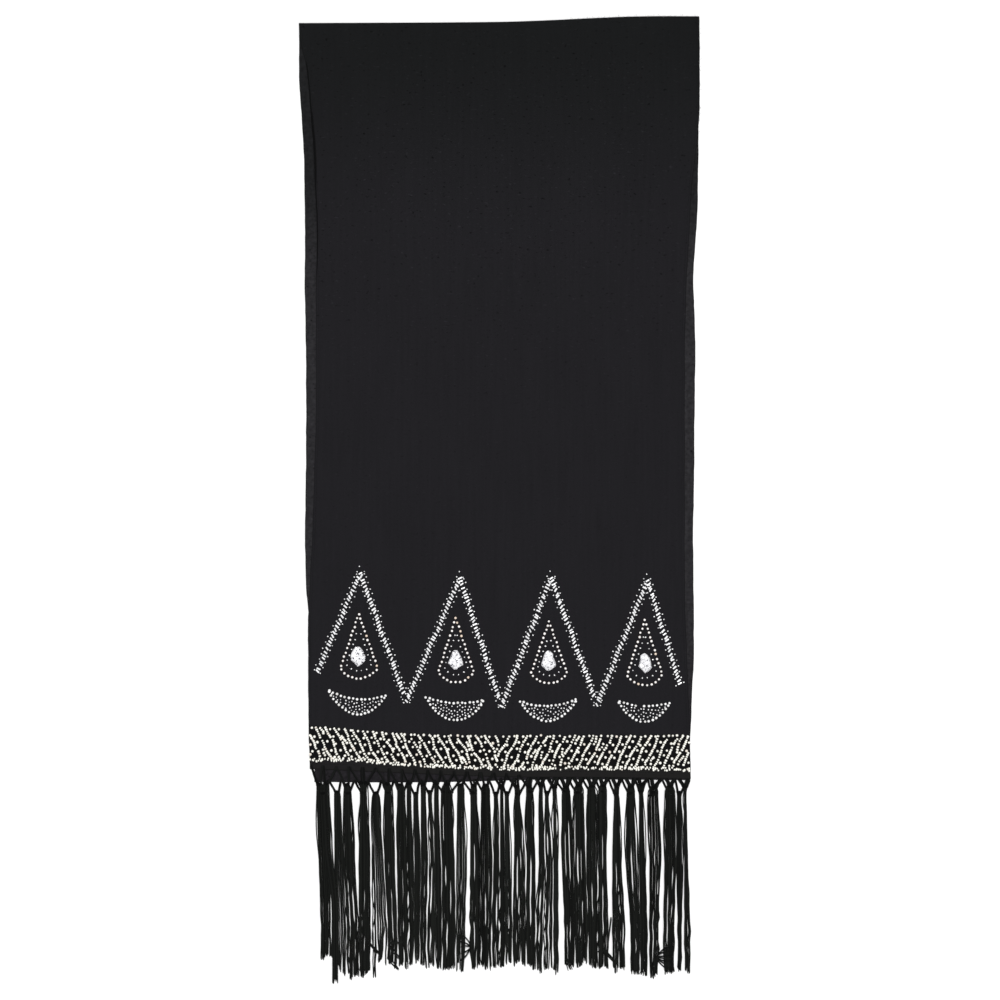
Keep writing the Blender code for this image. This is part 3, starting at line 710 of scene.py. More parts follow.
def crepe_group() -> bpy.types.NodeTree:
    """Make the crepe's surface: crinkled grain, short crosswise flecks and faint lengthwise streaks."""
    sizes = dict.fromkeys(("Grain", "Flecks", "Streaks", "Mottle", "Patches"), Input.SIZE)
    group = Group("crepe_grain", "ShaderNodeTree", {"Place": Input.PLACE, **sizes},
                  {"Height": Input.SIZE, "Shade": Input.SIZE})
    given = group.given

    def drawn(across: float, down: float, up: float) -> Socket:
        """Return the place, drawn out by three scales."""
        scales = {0: given["Place"], 1: (across, down, up)}
        return group.output(group.add("ShaderNodeVectorMath", scales, operation="MULTIPLY"))

    def swing(value: Socket, amount: object) -> Socket:
        """Return noise about nought, times an amount."""
        return group.times(group.sum("SUBTRACT", value, 0.5), amount)

    grain = group.noise(drawn(1.0, 0.62, 1.0), given["Grain"], 3.0, 0.65)
    light = group.remap(group.noise(drawn(170.0, 430.0, 60.0), 1.0, 2.0), 0.635, 0.765)
    dark = group.remap(group.noise(drawn(210.0, 330.0, 60.0), 1.0, 2.0), 0.375, 0.235)
    streaks = group.noise(drawn(260.0, 9.0, 60.0), 1.0, 2.0)
    clouds = group.noise(drawn(14.0, 9.0, 14.0), 1.0, 2.0)
    height = group.plus(grain, group.times(streaks, 0.35))
    flecks = group.times(group.sum("SUBTRACT", light, dark), given["Flecks"])
    soft = group.plus(swing(streaks, given["Streaks"]), swing(clouds, 0.16))
    mottle = swing(group.noise(given["Place"], given["Patches"], 2.0), given["Mottle"])
    shade = group.plus(1.0, group.plus(flecks, group.plus(soft, mottle)))
    return group.close(Height=height, Shade=shade)


def bead_group() -> bpy.types.NodeTree:
    """Make the beads' colour: a painted highlight at the crown, their own colour in painted shade at the rim,
    and some beads of another colour.
    """
    colours = dict.fromkeys(("Crown", "Rim", "Odd"), Input.COLOUR)
    sizes = dict.fromkeys(("Odd share", "Crown height"), Input.SIZE)
    group = Group("bead_colour_and_painted_light", "ShaderNodeTree", {**colours, **sizes},
                  {"Colour": Input.COLOUR, "Gloss": Input.SIZE})
    given = group.given
    tint = group.mark("tint")["Fac"]
    # Painted highlight: faces that point up, towards the lamps, take the crown colour; the others take the
    # rim colour as painted shade.
    up = group.parts(group.add("ShaderNodeNewGeometry").outputs["Normal"])["Z"]
    lit_crown = group.remap(group.sum("DIVIDE", up, given["Crown height"]), 0.25, 1.0)
    plain = group.blend(lit_crown, given["Rim"], given["Crown"])
    odd = group.sum("LESS_THAN", tint, given["Odd share"])
    mixed = group.blend(group.times(odd, 0.75), plain, given["Odd"])
    dimmed = group.scaled(mixed, group.remap(tint, 0.0, 1.0, 0.82, 1.0))
    return group.close(Colour=dimmed, Gloss=group.remap(tint, 0.2, 1.0, 0.34, 0.18))


class Surface(NodeTree):
    """One material: its nodes round a Principled shader."""

    groups: dict[str, bpy.types.NodeTree] = {}

    def __init__(self, name: str, **constants: float) -> None:
        """Make the material and set plain values of its shader, with _ for a space."""
        self.material = bpy.data.materials.new(name)
        self.material.use_nodes = True
        super().__init__(self.material.node_tree)
        self.shader = self.tree.nodes["Principled BSDF"]
        self.drive(self.shader, constants)

    def drive(self, node: bpy.types.Node, values: dict[str, object]) -> None:
        """Feed several inputs of a node, named with _ for a space."""
        for label, value in values.items():
            self.feed(node.inputs[label.replace("_", " ")], value)

    def place(self) -> Socket:
        """Return the place on the object, in metres."""
        return self.add("ShaderNodeTexCoord").outputs["Object"]

    def use(self, name: str, maker: Callable[[], bpy.types.NodeTree],
            **values: object) -> bpy.types.NodeOutputs:
        """Return the results of a shared node group with this material's own values."""
        if name not in self.groups:
            self.groups[name] = maker()
        node = self.tree.nodes.new("ShaderNodeGroup")
        node.node_tree = self.groups[name]
        self.drive(node, values)
        return node.outputs

    def finished(self, height: object = None, relief: float = 0.0, **results: object) -> bpy.types.Material:
        """Finish the material and return it.

        Args:
            height: What raises the surface, if anything does.
            relief: By how many metres the greatest height does so.
            results: What the shader's inputs get, with _ for a space.

        Returns:
            The material.
        """
        if height is not None:
            bump = {"Height": height, "Distance": relief, "Strength": 1.0}
            results["Normal"] = self.add("ShaderNodeBump", bump)
        self.drive(self.shader, results)
        return self.material


def rgba(colour: Colour) -> tuple[float, float, float, float]:
    """Return a colour with full cover."""
    return (*colour, 1.0)


@dataclass(frozen=True)
class CrepeFinish:
    """Black crepe, a little lighter where it lies in a single layer."""

    name: str
    fold: Colour
    middle: Colour
    hem: Colour
    flecks: float = 0.70
    calm_flecks: float = 0.24
    streaks: float = 0.24
    mottle: float = 0.28
    patches: float = 620.0          # of the mottle, to a metre
    deepest_shade: float = 0.25           # how dark the painted shade may make it, as a share of the plain cloth
    rise: tuple[float, float] = (0.32, 0.58)        # between these levels it turns as by the fold
    fade: tuple[float, float] = (-0.345, -0.30)     # and between these as by the hem
    grain: float = 1500.0
    relief: float = 0.16 * MM

    def material(self) -> bpy.types.Material:
        """Make the cloth's material, darker towards the fold and the hem, with painted shade where its dark
        attribute says.
        """
        surface = Surface(self.name, Roughness=0.85, Specular_IOR_Level=0.05, Sheen_Weight=0.04,
                          Sheen_Roughness=0.5)
        place = surface.place()
        level = surface.parts(place)["Y"]
        flecks = surface.remap(level, 0.05, 0.40, self.calm_flecks, self.flecks)
        grain = surface.use("crepe", crepe_group, Place=place, Grain=self.grain, Flecks=flecks,
                            Streaks=self.streaks, Mottle=self.mottle, Patches=self.patches)
        upper = surface.blend(surface.remap(level, *self.rise), rgba(self.middle), rgba(self.fold))
        lower = surface.blend(surface.remap(level, *self.fade), rgba(self.hem), upper)
        # Painted shade: the dark attribute darkens the cloth along rolled edges, and on the upper layer also
        # at its upper left edge, under the border's beads and beside sharp creases.
        dimmed = surface.remap(surface.mark("dark")["Fac"], 0.0, 1.0, 1.0, self.deepest_shade)
        shaded = surface.scaled(lower, surface.times(grain["Shade"], dimmed))
        return surface.finished(grain["Height"], self.relief, Base_Color=shaded)


@dataclass(frozen=True)
class ThreadFinish:
    """Black twisted yarn."""

    name: str = "fringe_yarn"
    colour: Colour = (0.0062, 0.0069, 0.0061)
    ply_pitch: float = 3.2 * MM
    relief: float = 0.10 * MM

    def material(self) -> bpy.types.Material:
        """Make the yarn's material, with its two plies as a slanting relief and as painted shade in the
        grooves between them.
        """
        surface = Surface(self.name, Roughness=0.7, Specular_IOR_Level=0.05, Sheen_Weight=0.02)
        across = surface.parts(surface.mark("round")["Vector"])
        phase = surface.times(surface.mark("run")["Fac"], 2 * math.pi / self.ply_pitch)
        first = surface.times(across["X"], surface.sum("COSINE", phase))
        second = surface.times(across["Y"], surface.sum("SINE", phase))
        ply = surface.sum("ABSOLUTE", surface.plus(first, second))
        fuzz = surface.noise(surface.place(), 900.0, 2.0)
        height = surface.plus(ply, surface.times(fuzz, 0.5))
        tint = surface.remap(surface.mark("tint")["Fac"], 0.0, 1.0, 0.5, 1.4)
        # Painted shade: the yarn is darker in the grooves between its plies and lighter on their crests.
        shade = surface.times(surface.remap(ply, 0.0, 0.6, 0.75, 1.1), tint)
        return surface.finished(height, self.relief, Base_Color=surface.scaled(self.colour, shade))


@dataclass(frozen=True)
class BeadFinish:
    """Beads with a painted highlight on the crown, a rim of their own colour in painted shade, and a few odd
    ones.
    """

    name: str
    # The crown colour is a painted highlight, the rim colour the beads' own colour in painted shade.
    lit_crown: Colour
    shaded_rim: Colour
    odd: Colour
    odd_share: float = 0.1
    lit_crown_height: float = 0.6
    metallic: float = 0.0
    coat: float = 0.3

    def material(self) -> bpy.types.Material:
        """Make the beads' material."""
        surface = Surface(self.name, Metallic=self.metallic, Coat_Weight=self.coat, Coat_Roughness=0.08)
        bead = surface.use("bead", bead_group, Crown=rgba(self.lit_crown), Rim=rgba(self.shaded_rim),
                           Odd=rgba(self.odd), Odd_share=self.odd_share, Crown_height=self.lit_crown_height)
        return surface.finished(Base_Color=bead["Colour"], Roughness=bead["Gloss"])


@dataclass(frozen=True)
class FoilFinish:
    """Silver glitter foil: small flakes, each leaning its own way, light or dark by a painted reflection."""

    name: str = "glitter_foil"
    light: Colour = (0.85, 0.85, 0.87)
    dark: Colour = (0.10, 0.10, 0.12)
    flake: float = 1.35 * MM
    relief: float = 0.12 * MM

    def material(self) -> bpy.types.Material:
        """Make the foil's material."""
        surface = Surface(self.name, Metallic=0.25, Coat_Weight=0.2)
        flakes = surface.add("ShaderNodeTexVoronoi", {"Vector": surface.place(), "Scale": 1.0 / self.flake})
        lean = surface.parts(flakes.outputs["Color"])
        # Painted reflection: flakes that lean one way are dark, as if they turned the light away, and the
        # rest carry a painted glint.
        glint = surface.remap(lean["X"], 0.08, 0.22)
        # Painted shade along the foil's wrinkles.
        cloud = surface.noise(surface.place(), 330.0, 1.0)
        wrinkle = surface.sum("ABSOLUTE", surface.sum("SUBTRACT", cloud, 0.5))
        share = surface.times(glint, surface.remap(wrinkle, 0.0, 0.035, 0.50, 1.0))
        colour = surface.blend(share, rgba(self.dark), rgba(self.light))
        gloss = surface.remap(lean["Y"], 0.0, 1.0, 0.22, 0.5)
        return surface.finished(lean["Z"], self.relief, Base_Color=colour, Roughness=gloss)


CREPE = CrepeFinish("crepe_double", (0.0066, 0.0070, 0.0075), (0.0105, 0.0101, 0.0119),
                    (0.0110, 0.0106, 0.0104))
CREPE_SINGLE = CrepeFinish("crepe_single", (0.0098, 0.0100, 0.0108), (0.0182, 0.0176, 0.0196),
                           (0.0130, 0.0118, 0.0138), flecks=0.6, calm_flecks=0.95, mottle=1.5, patches=250.0,
                           rise=(0.26, 0.42), fade=(-0.30, -0.13))
YARN = ThreadFinish()
TIED_YARN = ThreadFinish("tied_yarn", (0.0046, 0.0050, 0.0047))
# Each bead finish gives its painted highlight, then its rim colour in painted shade, then its odd beads'
# colour.
SILVER_BUGLE = BeadFinish("silver_bugle", (0.97, 0.97, 0.98), (0.78, 0.79, 0.82), (0.90, 0.91, 0.93), 0.15,
                          metallic=0.10)
WHITE_SEED = BeadFinish("white_seed", (0.96, 0.96, 0.97), (0.52, 0.51, 0.51), (0.52, 0.52, 0.54), 0.20)
COPPER_PEARL = BeadFinish("copper_pearl", (0.98, 0.97, 0.95), (0.46, 0.12, 0.03), (0.94, 0.74, 0.56), 0.06,
                          lit_crown_height=0.52)
WHITE_PEARL = BeadFinish("white_pearl", (0.97, 0.97, 0.97), (0.52, 0.51, 0.50), (0.84, 0.83, 0.80), 0.12,
                         lit_crown_height=0.50)
GOLD_PEARL = BeadFinish("gold_pearl", (0.98, 0.97, 0.90), (0.50, 0.45, 0.29), (0.93, 0.84, 0.74), 0.04,
                        lit_crown_height=0.52)
FOIL = FoilFinish()


# ---------------------------------------------------------------------------------------------------
# Pieces
# ---------------------------------------------------------------------------------------------------

def settle(name: str, meshes: Sequence[bpy.types.Mesh], slot: Slot, *nodes: str) -> bpy.types.Object:
    """Make one piece of several meshes, and say what it is.

    Args:
        name: The piece's name.
        meshes: Its meshes, which keep their attributes and materials.
        slot: Its material slot; not used.
        nodes: The solids that it stands for.

    Returns:
        The piece, in the scene and riding on the body.
    """
    parts = [placed(name, mesh) for mesh in meshes]
    piece = parts[0]
    if len(parts) > 1:
        with bpy.context.temp_override(active_object=piece, selected_editable_objects=parts):
            bpy.ops.object.join()
    piece.name = name
    piece.data.name = name
    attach(piece, BODY)
    if nodes:
        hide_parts(*nodes)
    faces = sum(len(polygon.vertices) - 2 for polygon in piece.data.polygons)
    LOG.info("%s: %d triangles, for %s", piece.name, faces, ", ".join(nodes) or "no solid")
    return piece


def shell(name: str, outer: np.ndarray, inner: np.ndarray, dark: np.ndarray) -> bpy.types.Mesh:
    """Join two grids of points into one closed wall.

    Args:
        name: The mesh's name.
        outer: Points of the side that shows, in rows of growing y and columns of growing x.
        inner: The other side's points, in the same order.
        dark: For each of these places, the painted shade: 0 where there is none and 1 where it is deepest.

    Returns:
        The mesh, with its faces pointing out and its painted shade as an attribute.
    """
    rows, columns = outer.shape[:2]
    size = rows * columns
    index = np.arange(size).reshape(rows, columns)
    quads = np.stack([index[:-1, :-1], index[:-1, 1:], index[1:, 1:], index[1:, :-1]], axis=-1).reshape(-1, 4)
    border = np.concatenate([index[0, :], index[1:, -1], index[-1, -2::-1], index[-2:0:-1, 0]])
    after = np.roll(border, -1)
    walls = np.stack([after, border, border + size, after + size], axis=-1)
    faces = np.concatenate([quads, quads[:, ::-1] + size, walls])
    points = np.concatenate([outer.reshape(-1, 3), inner.reshape(-1, 3)])
    mesh = new_mesh(name, points.tolist(), [], faces.tolist(), dark=np.tile(dark.ravel(), 2))
    mesh.shade_smooth()
    return mesh


@dataclass(frozen=True)
class Crease:
    """A soft ridge, or a trough if its height is below 0, drawn from one place to another."""

    x: float
    y: float
    run: float          # how far it goes along the stole
    drift: float        # how far it moves sideways on the way
    height: float
    half_width: float

    def lift(self, x: np.ndarray, y: np.ndarray) -> np.ndarray:
        """Return how far the crease lifts each place."""
        share = (y - self.y) / self.run
        envelope = np.sin(math.pi * np.clip(share, 0.0, 1.0)) ** 1.5
        away = np.abs(x - self.x - self.drift * share) / self.half_width
        return self.height * envelope * np.clip(1.0 - away**2, 0.0, 1.0) ** 2


# How many of the creases, the first ones, are sharp enough to get painted shade on one side.
SHARP_CREASES = 6

CREASES = (
    Crease(-0.009, -0.165, 0.110, 0.001, 0.80 * MM, 0.006),
    Crease(-0.006, -0.300, 0.060, -0.001, 0.60 * MM, 0.005),
    Crease(0.1225, -0.055, 0.065, 0.000, 0.85 * MM, 0.007),
    Crease(-0.206, 0.020, 0.060, 0.008, 0.70 * MM, 0.006),
    Crease(0.216, -0.290, 0.075, 0.001, 0.65 * MM, 0.005),
    Crease(0.195, -0.275, 0.050, 0.002, 0.50 * MM, 0.005),
    Crease(-0.215, 0.180, 0.260, 0.006, -0.55 * MM, 0.012),
    Crease(0.205, 0.220, 0.240, -0.006, 0.65 * MM, 0.014),
    Crease(-0.120, 0.250, 0.300, 0.020, 0.60 * MM, 0.020),
    Crease(0.060, 0.180, 0.360, 0.016, 0.65 * MM, 0.022),
    Crease(0.150, 0.380, 0.190, -0.010, 0.50 * MM, 0.016),
    Crease(-0.050, 0.420, 0.160, 0.012, -0.45 * MM, 0.018),
    Crease(-0.160, -0.080, 0.220, -0.004, 0.45 * MM, 0.012),
    Crease(0.070, -0.070, 0.200, 0.006, 0.45 * MM, 0.012),
)


# A rolled edge gets painted shade over this width, at most this strong.
RIM_WIDTH = 1.6 * MM
RIM_SHADE = 0.6

# The groove that a hem's seam makes: its depth, its distance inside the hem's inner edge and half its width.
GROOVE_DEPTH = 0.18 * MM
GROOVE_INSET = 0.7 * MM
GROOVE_HALF = 0.45 * MM

# A hem comes down to the cloth over this width, and its edge is rolled to this radius.
HEM_STEP = 1.0 * MM
HEM_ROLL = 0.8 * MM


def rim_shade(away: np.ndarray) -> np.ndarray:
    """Return the painted shade along a rolled edge, by the distance from it."""
    return RIM_SHADE * (1.0 - ease(away / RIM_WIDTH))


@dataclass
class ClothGrid:
    """Columns and rows that are close together near the edges, for a rolled hem."""

    pitch: float = 4.6 * MM
    edge_steps: tuple[float, ...] = (0.0, 0.15, 0.5, 1.2, 2.3, 3.3, 3.9, 4.5, 6.5, 9.5)     # in millimetres

    def shares(self, span: float, both_ends: bool) -> np.ndarray:
        """Return places from 0 to 1 over a span, close together at its start or at both ends."""
        edge = np.array(self.edge_steps) * MM
        tail = edge[-1] if both_ends else 0.0
        count = round((span - edge[-1] - tail) / self.pitch)
        middle = np.linspace(edge[-1], span - tail, count + 1)[1:]
        end = span - edge[-2::-1] if both_ends else edge[:0]
        return np.concatenate([edge, middle, end]) / span

    def over(self, outline: Outline) -> tuple[np.ndarray, ...]:
        """Lay the grid over a cloth.

        Args:
            outline: The cloth's outline.

        Returns:
            At each place its share of the width, its share of the length, its level (the y it has in the
            stole's middle) and its x.
        """
        foot, head = float(outline.hem(0.0)), float(outline.head(0.0))
        share, step = np.meshgrid(self.shares(outline.width, True), self.shares(head - foot, False))
        level = mix(foot, head, step)
        return share, step, level, mix(outline.left(level), outline.right(level), share)


def hem_lift(away: np.ndarray, width: float, rise: float) -> np.ndarray:
    """Return the height of a turned hem over the cloth, by the distance from its edge."""
    body = rise * (1.0 - ease((away - width + HEM_STEP / 2) / HEM_STEP))
    groove = GROOVE_DEPTH * np.exp(-((away - width + GROOVE_INSET) / GROOVE_HALF) ** 2)
    roll = rise * (1.0 - np.sqrt(1.0 - np.clip(1.0 - away / HEM_ROLL, 0.0, 1.0) ** 2))
    return body - groove - roll


@dataclass
class UpperCloth:
    """The half that shows, from its hem over the rounded fold and 14 mm back under itself."""

    node: str = "stole_upper_half"
    thickness: float = 0.7 * MM
    flat_height: float = 2.7 * MM
    fold_run: float = 45.0 * MM         # the cloth rises to the fold within this
    fold_return: float = 14.0 * MM
    fold_turns: int = 12
    droop: float = 1.0 * MM
    droop_reach: float = 11.0 * MM
    side_hem: float = 4.0 * MM
    end_hem: float = 8.0 * MM
    hem_rise: float = 0.35 * MM
    fold_sag: float = 0.25 * MM         # how much thinner the fold is in places, half of it
    wave: float = 0.45 * MM             # how far the side edges wave
    slack: float = 0.45 * MM            # how far the cloth lifts between its edges
    crosswise: float = 0.10 * MM        # and in fine waves towards the fold
    edge_shadow: tuple[float, float] = (0.25, 0.56)      # between these levels the painted shadow along the left edge reaches further in
    core: tuple[float, float] = (0.385, 0.500)      # and furthest between these
    depths: tuple[float, float] = (1.0, 2.4)        # so far, in millimetres
    seed: int = 21

    def __post_init__(self) -> None:
        """Read the outline, and build the wall."""
        self.outline = Outline(self.node)
        self.rng = np.random.default_rng(self.seed)
        self.flat_top = self.outline.solid.low.z + self.flat_height
        self.fold_top = self.outline.solid.high.z
        self.mesh = self.build()
        self.tree = mesh_tree(self.mesh)

    def base_height(self, x: np.ndarray, y: np.ndarray) -> np.ndarray:
        """Return the solid's top at each place of a grid, with its facets evened out."""
        outline = self.outline
        tree = mesh_tree(outline.solid.mesh)
        column = np.clip(x, outline.left(y) + 1.5 * MM, outline.right(y) - 1.5 * MM)
        row = np.clip(y, outline.hem(x) + 1.5 * MM, outline.head(x) - 2.5 * MM)
        heights = np.empty_like(x)
        for place in np.ndindex(x.shape):
            heights[place] = height_on(tree, column[place], row[place], self.flat_top)
        return softened_grid(heights, 4)

    def build(self) -> bpy.types.Mesh:
        """Make the wall."""
        outline = self.outline
        share, step, level, x = ClothGrid().over(outline)
        radius = self.fold_top / 2 * np.ones(share.shape[1])
        radius -= self.fold_sag * (1.0 + ripple(self.rng, share[0] * outline.width, (0.21, 0.083, 0.047)))
        x += self.edge_wave(level, share)
        hem = outline.hem(x)
        end = outline.head(x) - radius
        y = hem + (end - hem) * step
        top = self.base_height(x, y)
        rise = np.clip((top - self.flat_top) / (self.fold_top - self.flat_top), 0.0, 1.0)
        near_fold = ease((y - end + self.fold_run) / self.fold_run)
        z = top - (self.fold_top - 2 * radius) * rise * near_fold + self.relief(x, y)
        from_side = np.minimum(x - x[:, :1], x[:, -1:] - x)
        from_hem = y - hem
        z += hem_lift(from_side, self.side_hem, self.hem_rise)
        z += hem_lift(from_hem, self.end_hem, self.hem_rise)
        inside = ease(from_side / self.droop_reach)
        z -= self.droop * (1.0 - inside) * (1.0 - near_fold)
        z -= self.droop * (1.0 - ease(from_hem / self.droop_reach)) * inside
        flat = np.stack([x, y, z], axis=-1)
        self.flat_rows = len(flat)
        self.outer = np.concatenate([flat, self.turn(flat[-1], radius)])
        dark = self.painted_shade(x, y, from_side, from_hem)
        dark = np.concatenate([dark, np.repeat(dark[-1:], len(self.outer) - len(dark), axis=0)])
        inner = self.outer - self.normals(self.outer) * self.thickness
        return shell("crepe_upper", self.outer, inner, dark)

    def painted_shade(self, x: np.ndarray, y: np.ndarray, from_side: np.ndarray,
                 from_hem: np.ndarray) -> np.ndarray:
        """Return how much painted shade darkens the cloth at each place.

        Args:
            x: Places across the stole.
            y: Places along it.
            from_side: How far each place is from the nearer side edge.
            from_hem: How far it is from the hem.

        Returns:
            A share of painted shade from 0, none, to 1: along the rolled edges, most of all at the upper
            left, where the edge stands over the under layer, under the border's beads and beside the sharp
            creases.
        """
        shaded_rim = rim_shade(np.minimum(from_side, from_hem))
        # Painted shadow along the upper left edge, where the upper layer stands over the under one.
        depth = mix(*self.depths, window(y, *self.core, 0.03)) * MM
        edge_shadow = window(y, *self.edge_shadow, 0.06, 0.02) * (1.0 - ease((x - x[:, :1] - depth) / RIM_WIDTH))
        # Painted shade on the cloth under the border's beads.
        band = Band("border_beading")
        bead_shade = window(y, band.foot(x), band.head(x) - 1 * MM, 3 * MM)
        # Painted shade on one side of each sharp crease.
        crease_shade = sum(0.3 * crease.lift(x - 0.3 * crease.half_width, y) / MM
                    for crease in CREASES[:SHARP_CREASES])
        return np.maximum.reduce([shaded_rim, edge_shadow, 0.75 * bead_shade, crease_shade])

    def edge_wave(self, level: np.ndarray, share: np.ndarray) -> np.ndarray:
        """Return the small unevenness of the side edges, which fades out towards the middle."""
        left = ripple(self.rng, level, (0.071, 0.031, 0.0137)) * np.clip(1.0 - share * 8, 0, 1)
        right = ripple(self.rng, level, (0.083, 0.037, 0.0151)) * np.clip(1.0 - (1.0 - share) * 8, 0, 1)
        return self.wave * (left + right)

    def relief(self, x: np.ndarray, y: np.ndarray) -> np.ndarray:
        """Return the fine creases and the slack of the cloth."""
        slack = ripple(self.rng, x + 0.3 * y, (0.19, 0.11, 0.067)) * ripple(self.rng, y, (0.37, 0.23, 0.12))
        cross = ripple(self.rng, y + 0.2 * x, (0.045, 0.027, 0.019)) * ease((y - 0.33) / 0.2)
        calm = mix(0.35, 1.0, ease((y + 0.12) / 0.08))
        creases = sum(crease.lift(x, y) for crease in CREASES)
        return creases + (self.slack * slack + self.crosswise * cross) * calm

    def turn(self, last: np.ndarray, radius: np.ndarray) -> np.ndarray:
        """Return the rows round the fold and back under the cloth, after its last flat row."""
        x, y, top = last.T
        middle = top - radius
        rows = []
        for angle in np.linspace(90.0, -90.0, self.fold_turns + 1)[1:]:
            lift = math.sin(math.radians(angle))
            z = np.where(lift > 0, middle + radius * lift, middle * (1.0 + lift))
            rows.append((x, y + radius * math.cos(math.radians(angle)), np.maximum(z, 0.0)))
        for share in (0.12, 0.4, 0.7, 1.0):
            rows.append((x, y - (self.fold_return - radius) * share, np.zeros_like(x)))
        return np.array(rows).transpose(0, 2, 1)

    @staticmethod
    def normals(grid: np.ndarray) -> np.ndarray:
        """Return the direction that each point of a grid faces."""
        facing = np.cross(np.gradient(grid, axis=1), np.gradient(grid, axis=0))
        return facing / np.linalg.norm(facing, axis=2, keepdims=True)

    def height(self, x: float, y: float) -> float:
        """Return the height of the cloth at a place."""
        return height_on(self.tree, x, y, self.flat_top)

    def side_line(self, away: float, column: int) -> Line:
        """Return the line at a distance from the left edge, column 0, or from the right one, column -1."""
        x, y = self.outer[8:self.flat_rows, column, :2].T
        return np.stack([x + (away if column == 0 else -away), y], axis=-1)

    def hem_line(self, away: float) -> Line:
        """Return the line on the cloth at a distance from its hem."""
        x = self.outer[0, 3:-3, 0]
        return np.stack([x, self.outline.hem(x) + away], axis=-1)

    def dress(self, finish: bpy.types.Material) -> bpy.types.Object:
        """Make the piece."""
        self.mesh.materials.append(finish)
        return settle("crepe_upper", [self.mesh], Slot.CREPE, self.node)


@dataclass
class UnderCloth:
    """The hidden half: a flat layer whose sides peek out from under the upper one."""

    node: str = "stole_under_half"
    thickness: float = 0.9 * MM
    side_hem: float = 4.0 * MM
    end_hem: float = 8.0 * MM
    hem_rise: float = 0.25 * MM
    wave: float = 0.5 * MM
    slack: float = 0.06 * MM
    pitch: float = 7.5 * MM
    seed: int = 33

    def build(self) -> bpy.types.Mesh:
        """Make the wall, flat below where it rests."""
        outline = Outline(self.node)
        rng = np.random.default_rng(self.seed)
        share, step, level, x = ClothGrid(self.pitch).over(outline)
        x += ripple(rng, level, (0.063, 0.029, 0.0127)) * self.wave * (2 * share - 1) ** 8
        hem = outline.hem(x)
        y = hem + (outline.head(x) - hem) * step
        from_side = np.minimum(x - x[:, :1], x[:, -1:] - x)
        z = self.thickness + self.slack * ripple(rng, x, (0.11, 0.043)) * ripple(rng, y, (0.17, 0.06))
        z += hem_lift(from_side, self.side_hem, self.hem_rise)
        z += hem_lift(y - hem, self.end_hem, self.hem_rise)
        outer = np.stack([x, y, z], axis=-1)
        inner = outer * np.array([1.0, 1.0, 0.0])
        # The under layer's rolled edges get painted shade.
        return shell("crepe_under", outer, inner, rim_shade(np.minimum(from_side, y - hem)))

    def dress(self, finish: bpy.types.Material) -> bpy.types.Object:
        """Make the piece."""
        mesh = self.build()
        mesh.materials.append(finish)
        return settle("crepe_under", [mesh], Slot.CREPE, self.node)


@dataclass
class Sewing:
    """The stitches that hold the hems, and the lint along the fold."""

    cloth: UpperCloth
    inset: float = 0.7 * MM         # the stitches lie this far inside a hem's inner edge
    lift: float = 0.05 * MM         # their middles lie this far above the cloth
    pitch: float = 3.4 * MM
    length: float = 2.3 * MM
    thickness: float = 0.42 * MM
    lint_pitch: float = 1.9 * MM
    lint_reach: float = 2.6 * MM
    lint_thickness: float = 0.16 * MM
    lint_left: float = 0.085        # the lint along the fold starts at this x
    lint_foot: float = 0.30         # and that along the right edge at this y

    def stitches(self, finish: bpy.types.Material) -> bpy.types.Object:
        """Sew down the side hems and the end hem."""
        cloth = self.cloth
        lines = [cloth.side_line(cloth.side_hem - self.inset, column) for column in (0, -1)]
        lines.append(cloth.hem_line(cloth.end_hem - self.inset))
        carrier = wires([seated(line, cloth.height, self.lift) for line in lines])
        mesh = grow(carrier, stitch_tree(), Pitch=self.pitch, Length=self.length, Thickness=self.thickness,
                    Slant=0.18, Seed=5, Finish=finish)
        return settle("hem_stitches", [mesh], Slot.THREAD)

    def lint(self, finish: bpy.types.Material) -> bpy.types.Object:
        """Stand stray fibres along the fold's right half and down the right edge."""
        fold = self.cloth.outer[self.cloth.flat_rows + 4]
        edge = self.cloth.outer[:self.cloth.flat_rows, -1]
        lines = [fold[fold[:, 0] > self.lint_left], edge[edge[:, 1] > self.lint_foot]]
        mesh = grow(wires(lines), lint_tree(), Pitch=self.lint_pitch, Reach=self.lint_reach,
                    Thickness=self.lint_thickness, Missing=0.25, Seed=9, Finish=finish)
        return settle("edge_lint", [mesh], Slot.CREPE)


# ---------------------------------------------------------------------------------------------------
# Fringes
# ---------------------------------------------------------------------------------------------------

# The levels at which the slits between strands are given: y below the knots, at a third and near the ends.
SLIT_LEVELS = (-0.374, -0.451, -0.530)

# What loose fibres take of each side of a slit at each level, in millimetres, and what they leave at least.
SLIT_TRIMS = (0.15, 0.72, 0.90)
SLIT_LEAST = 0.20

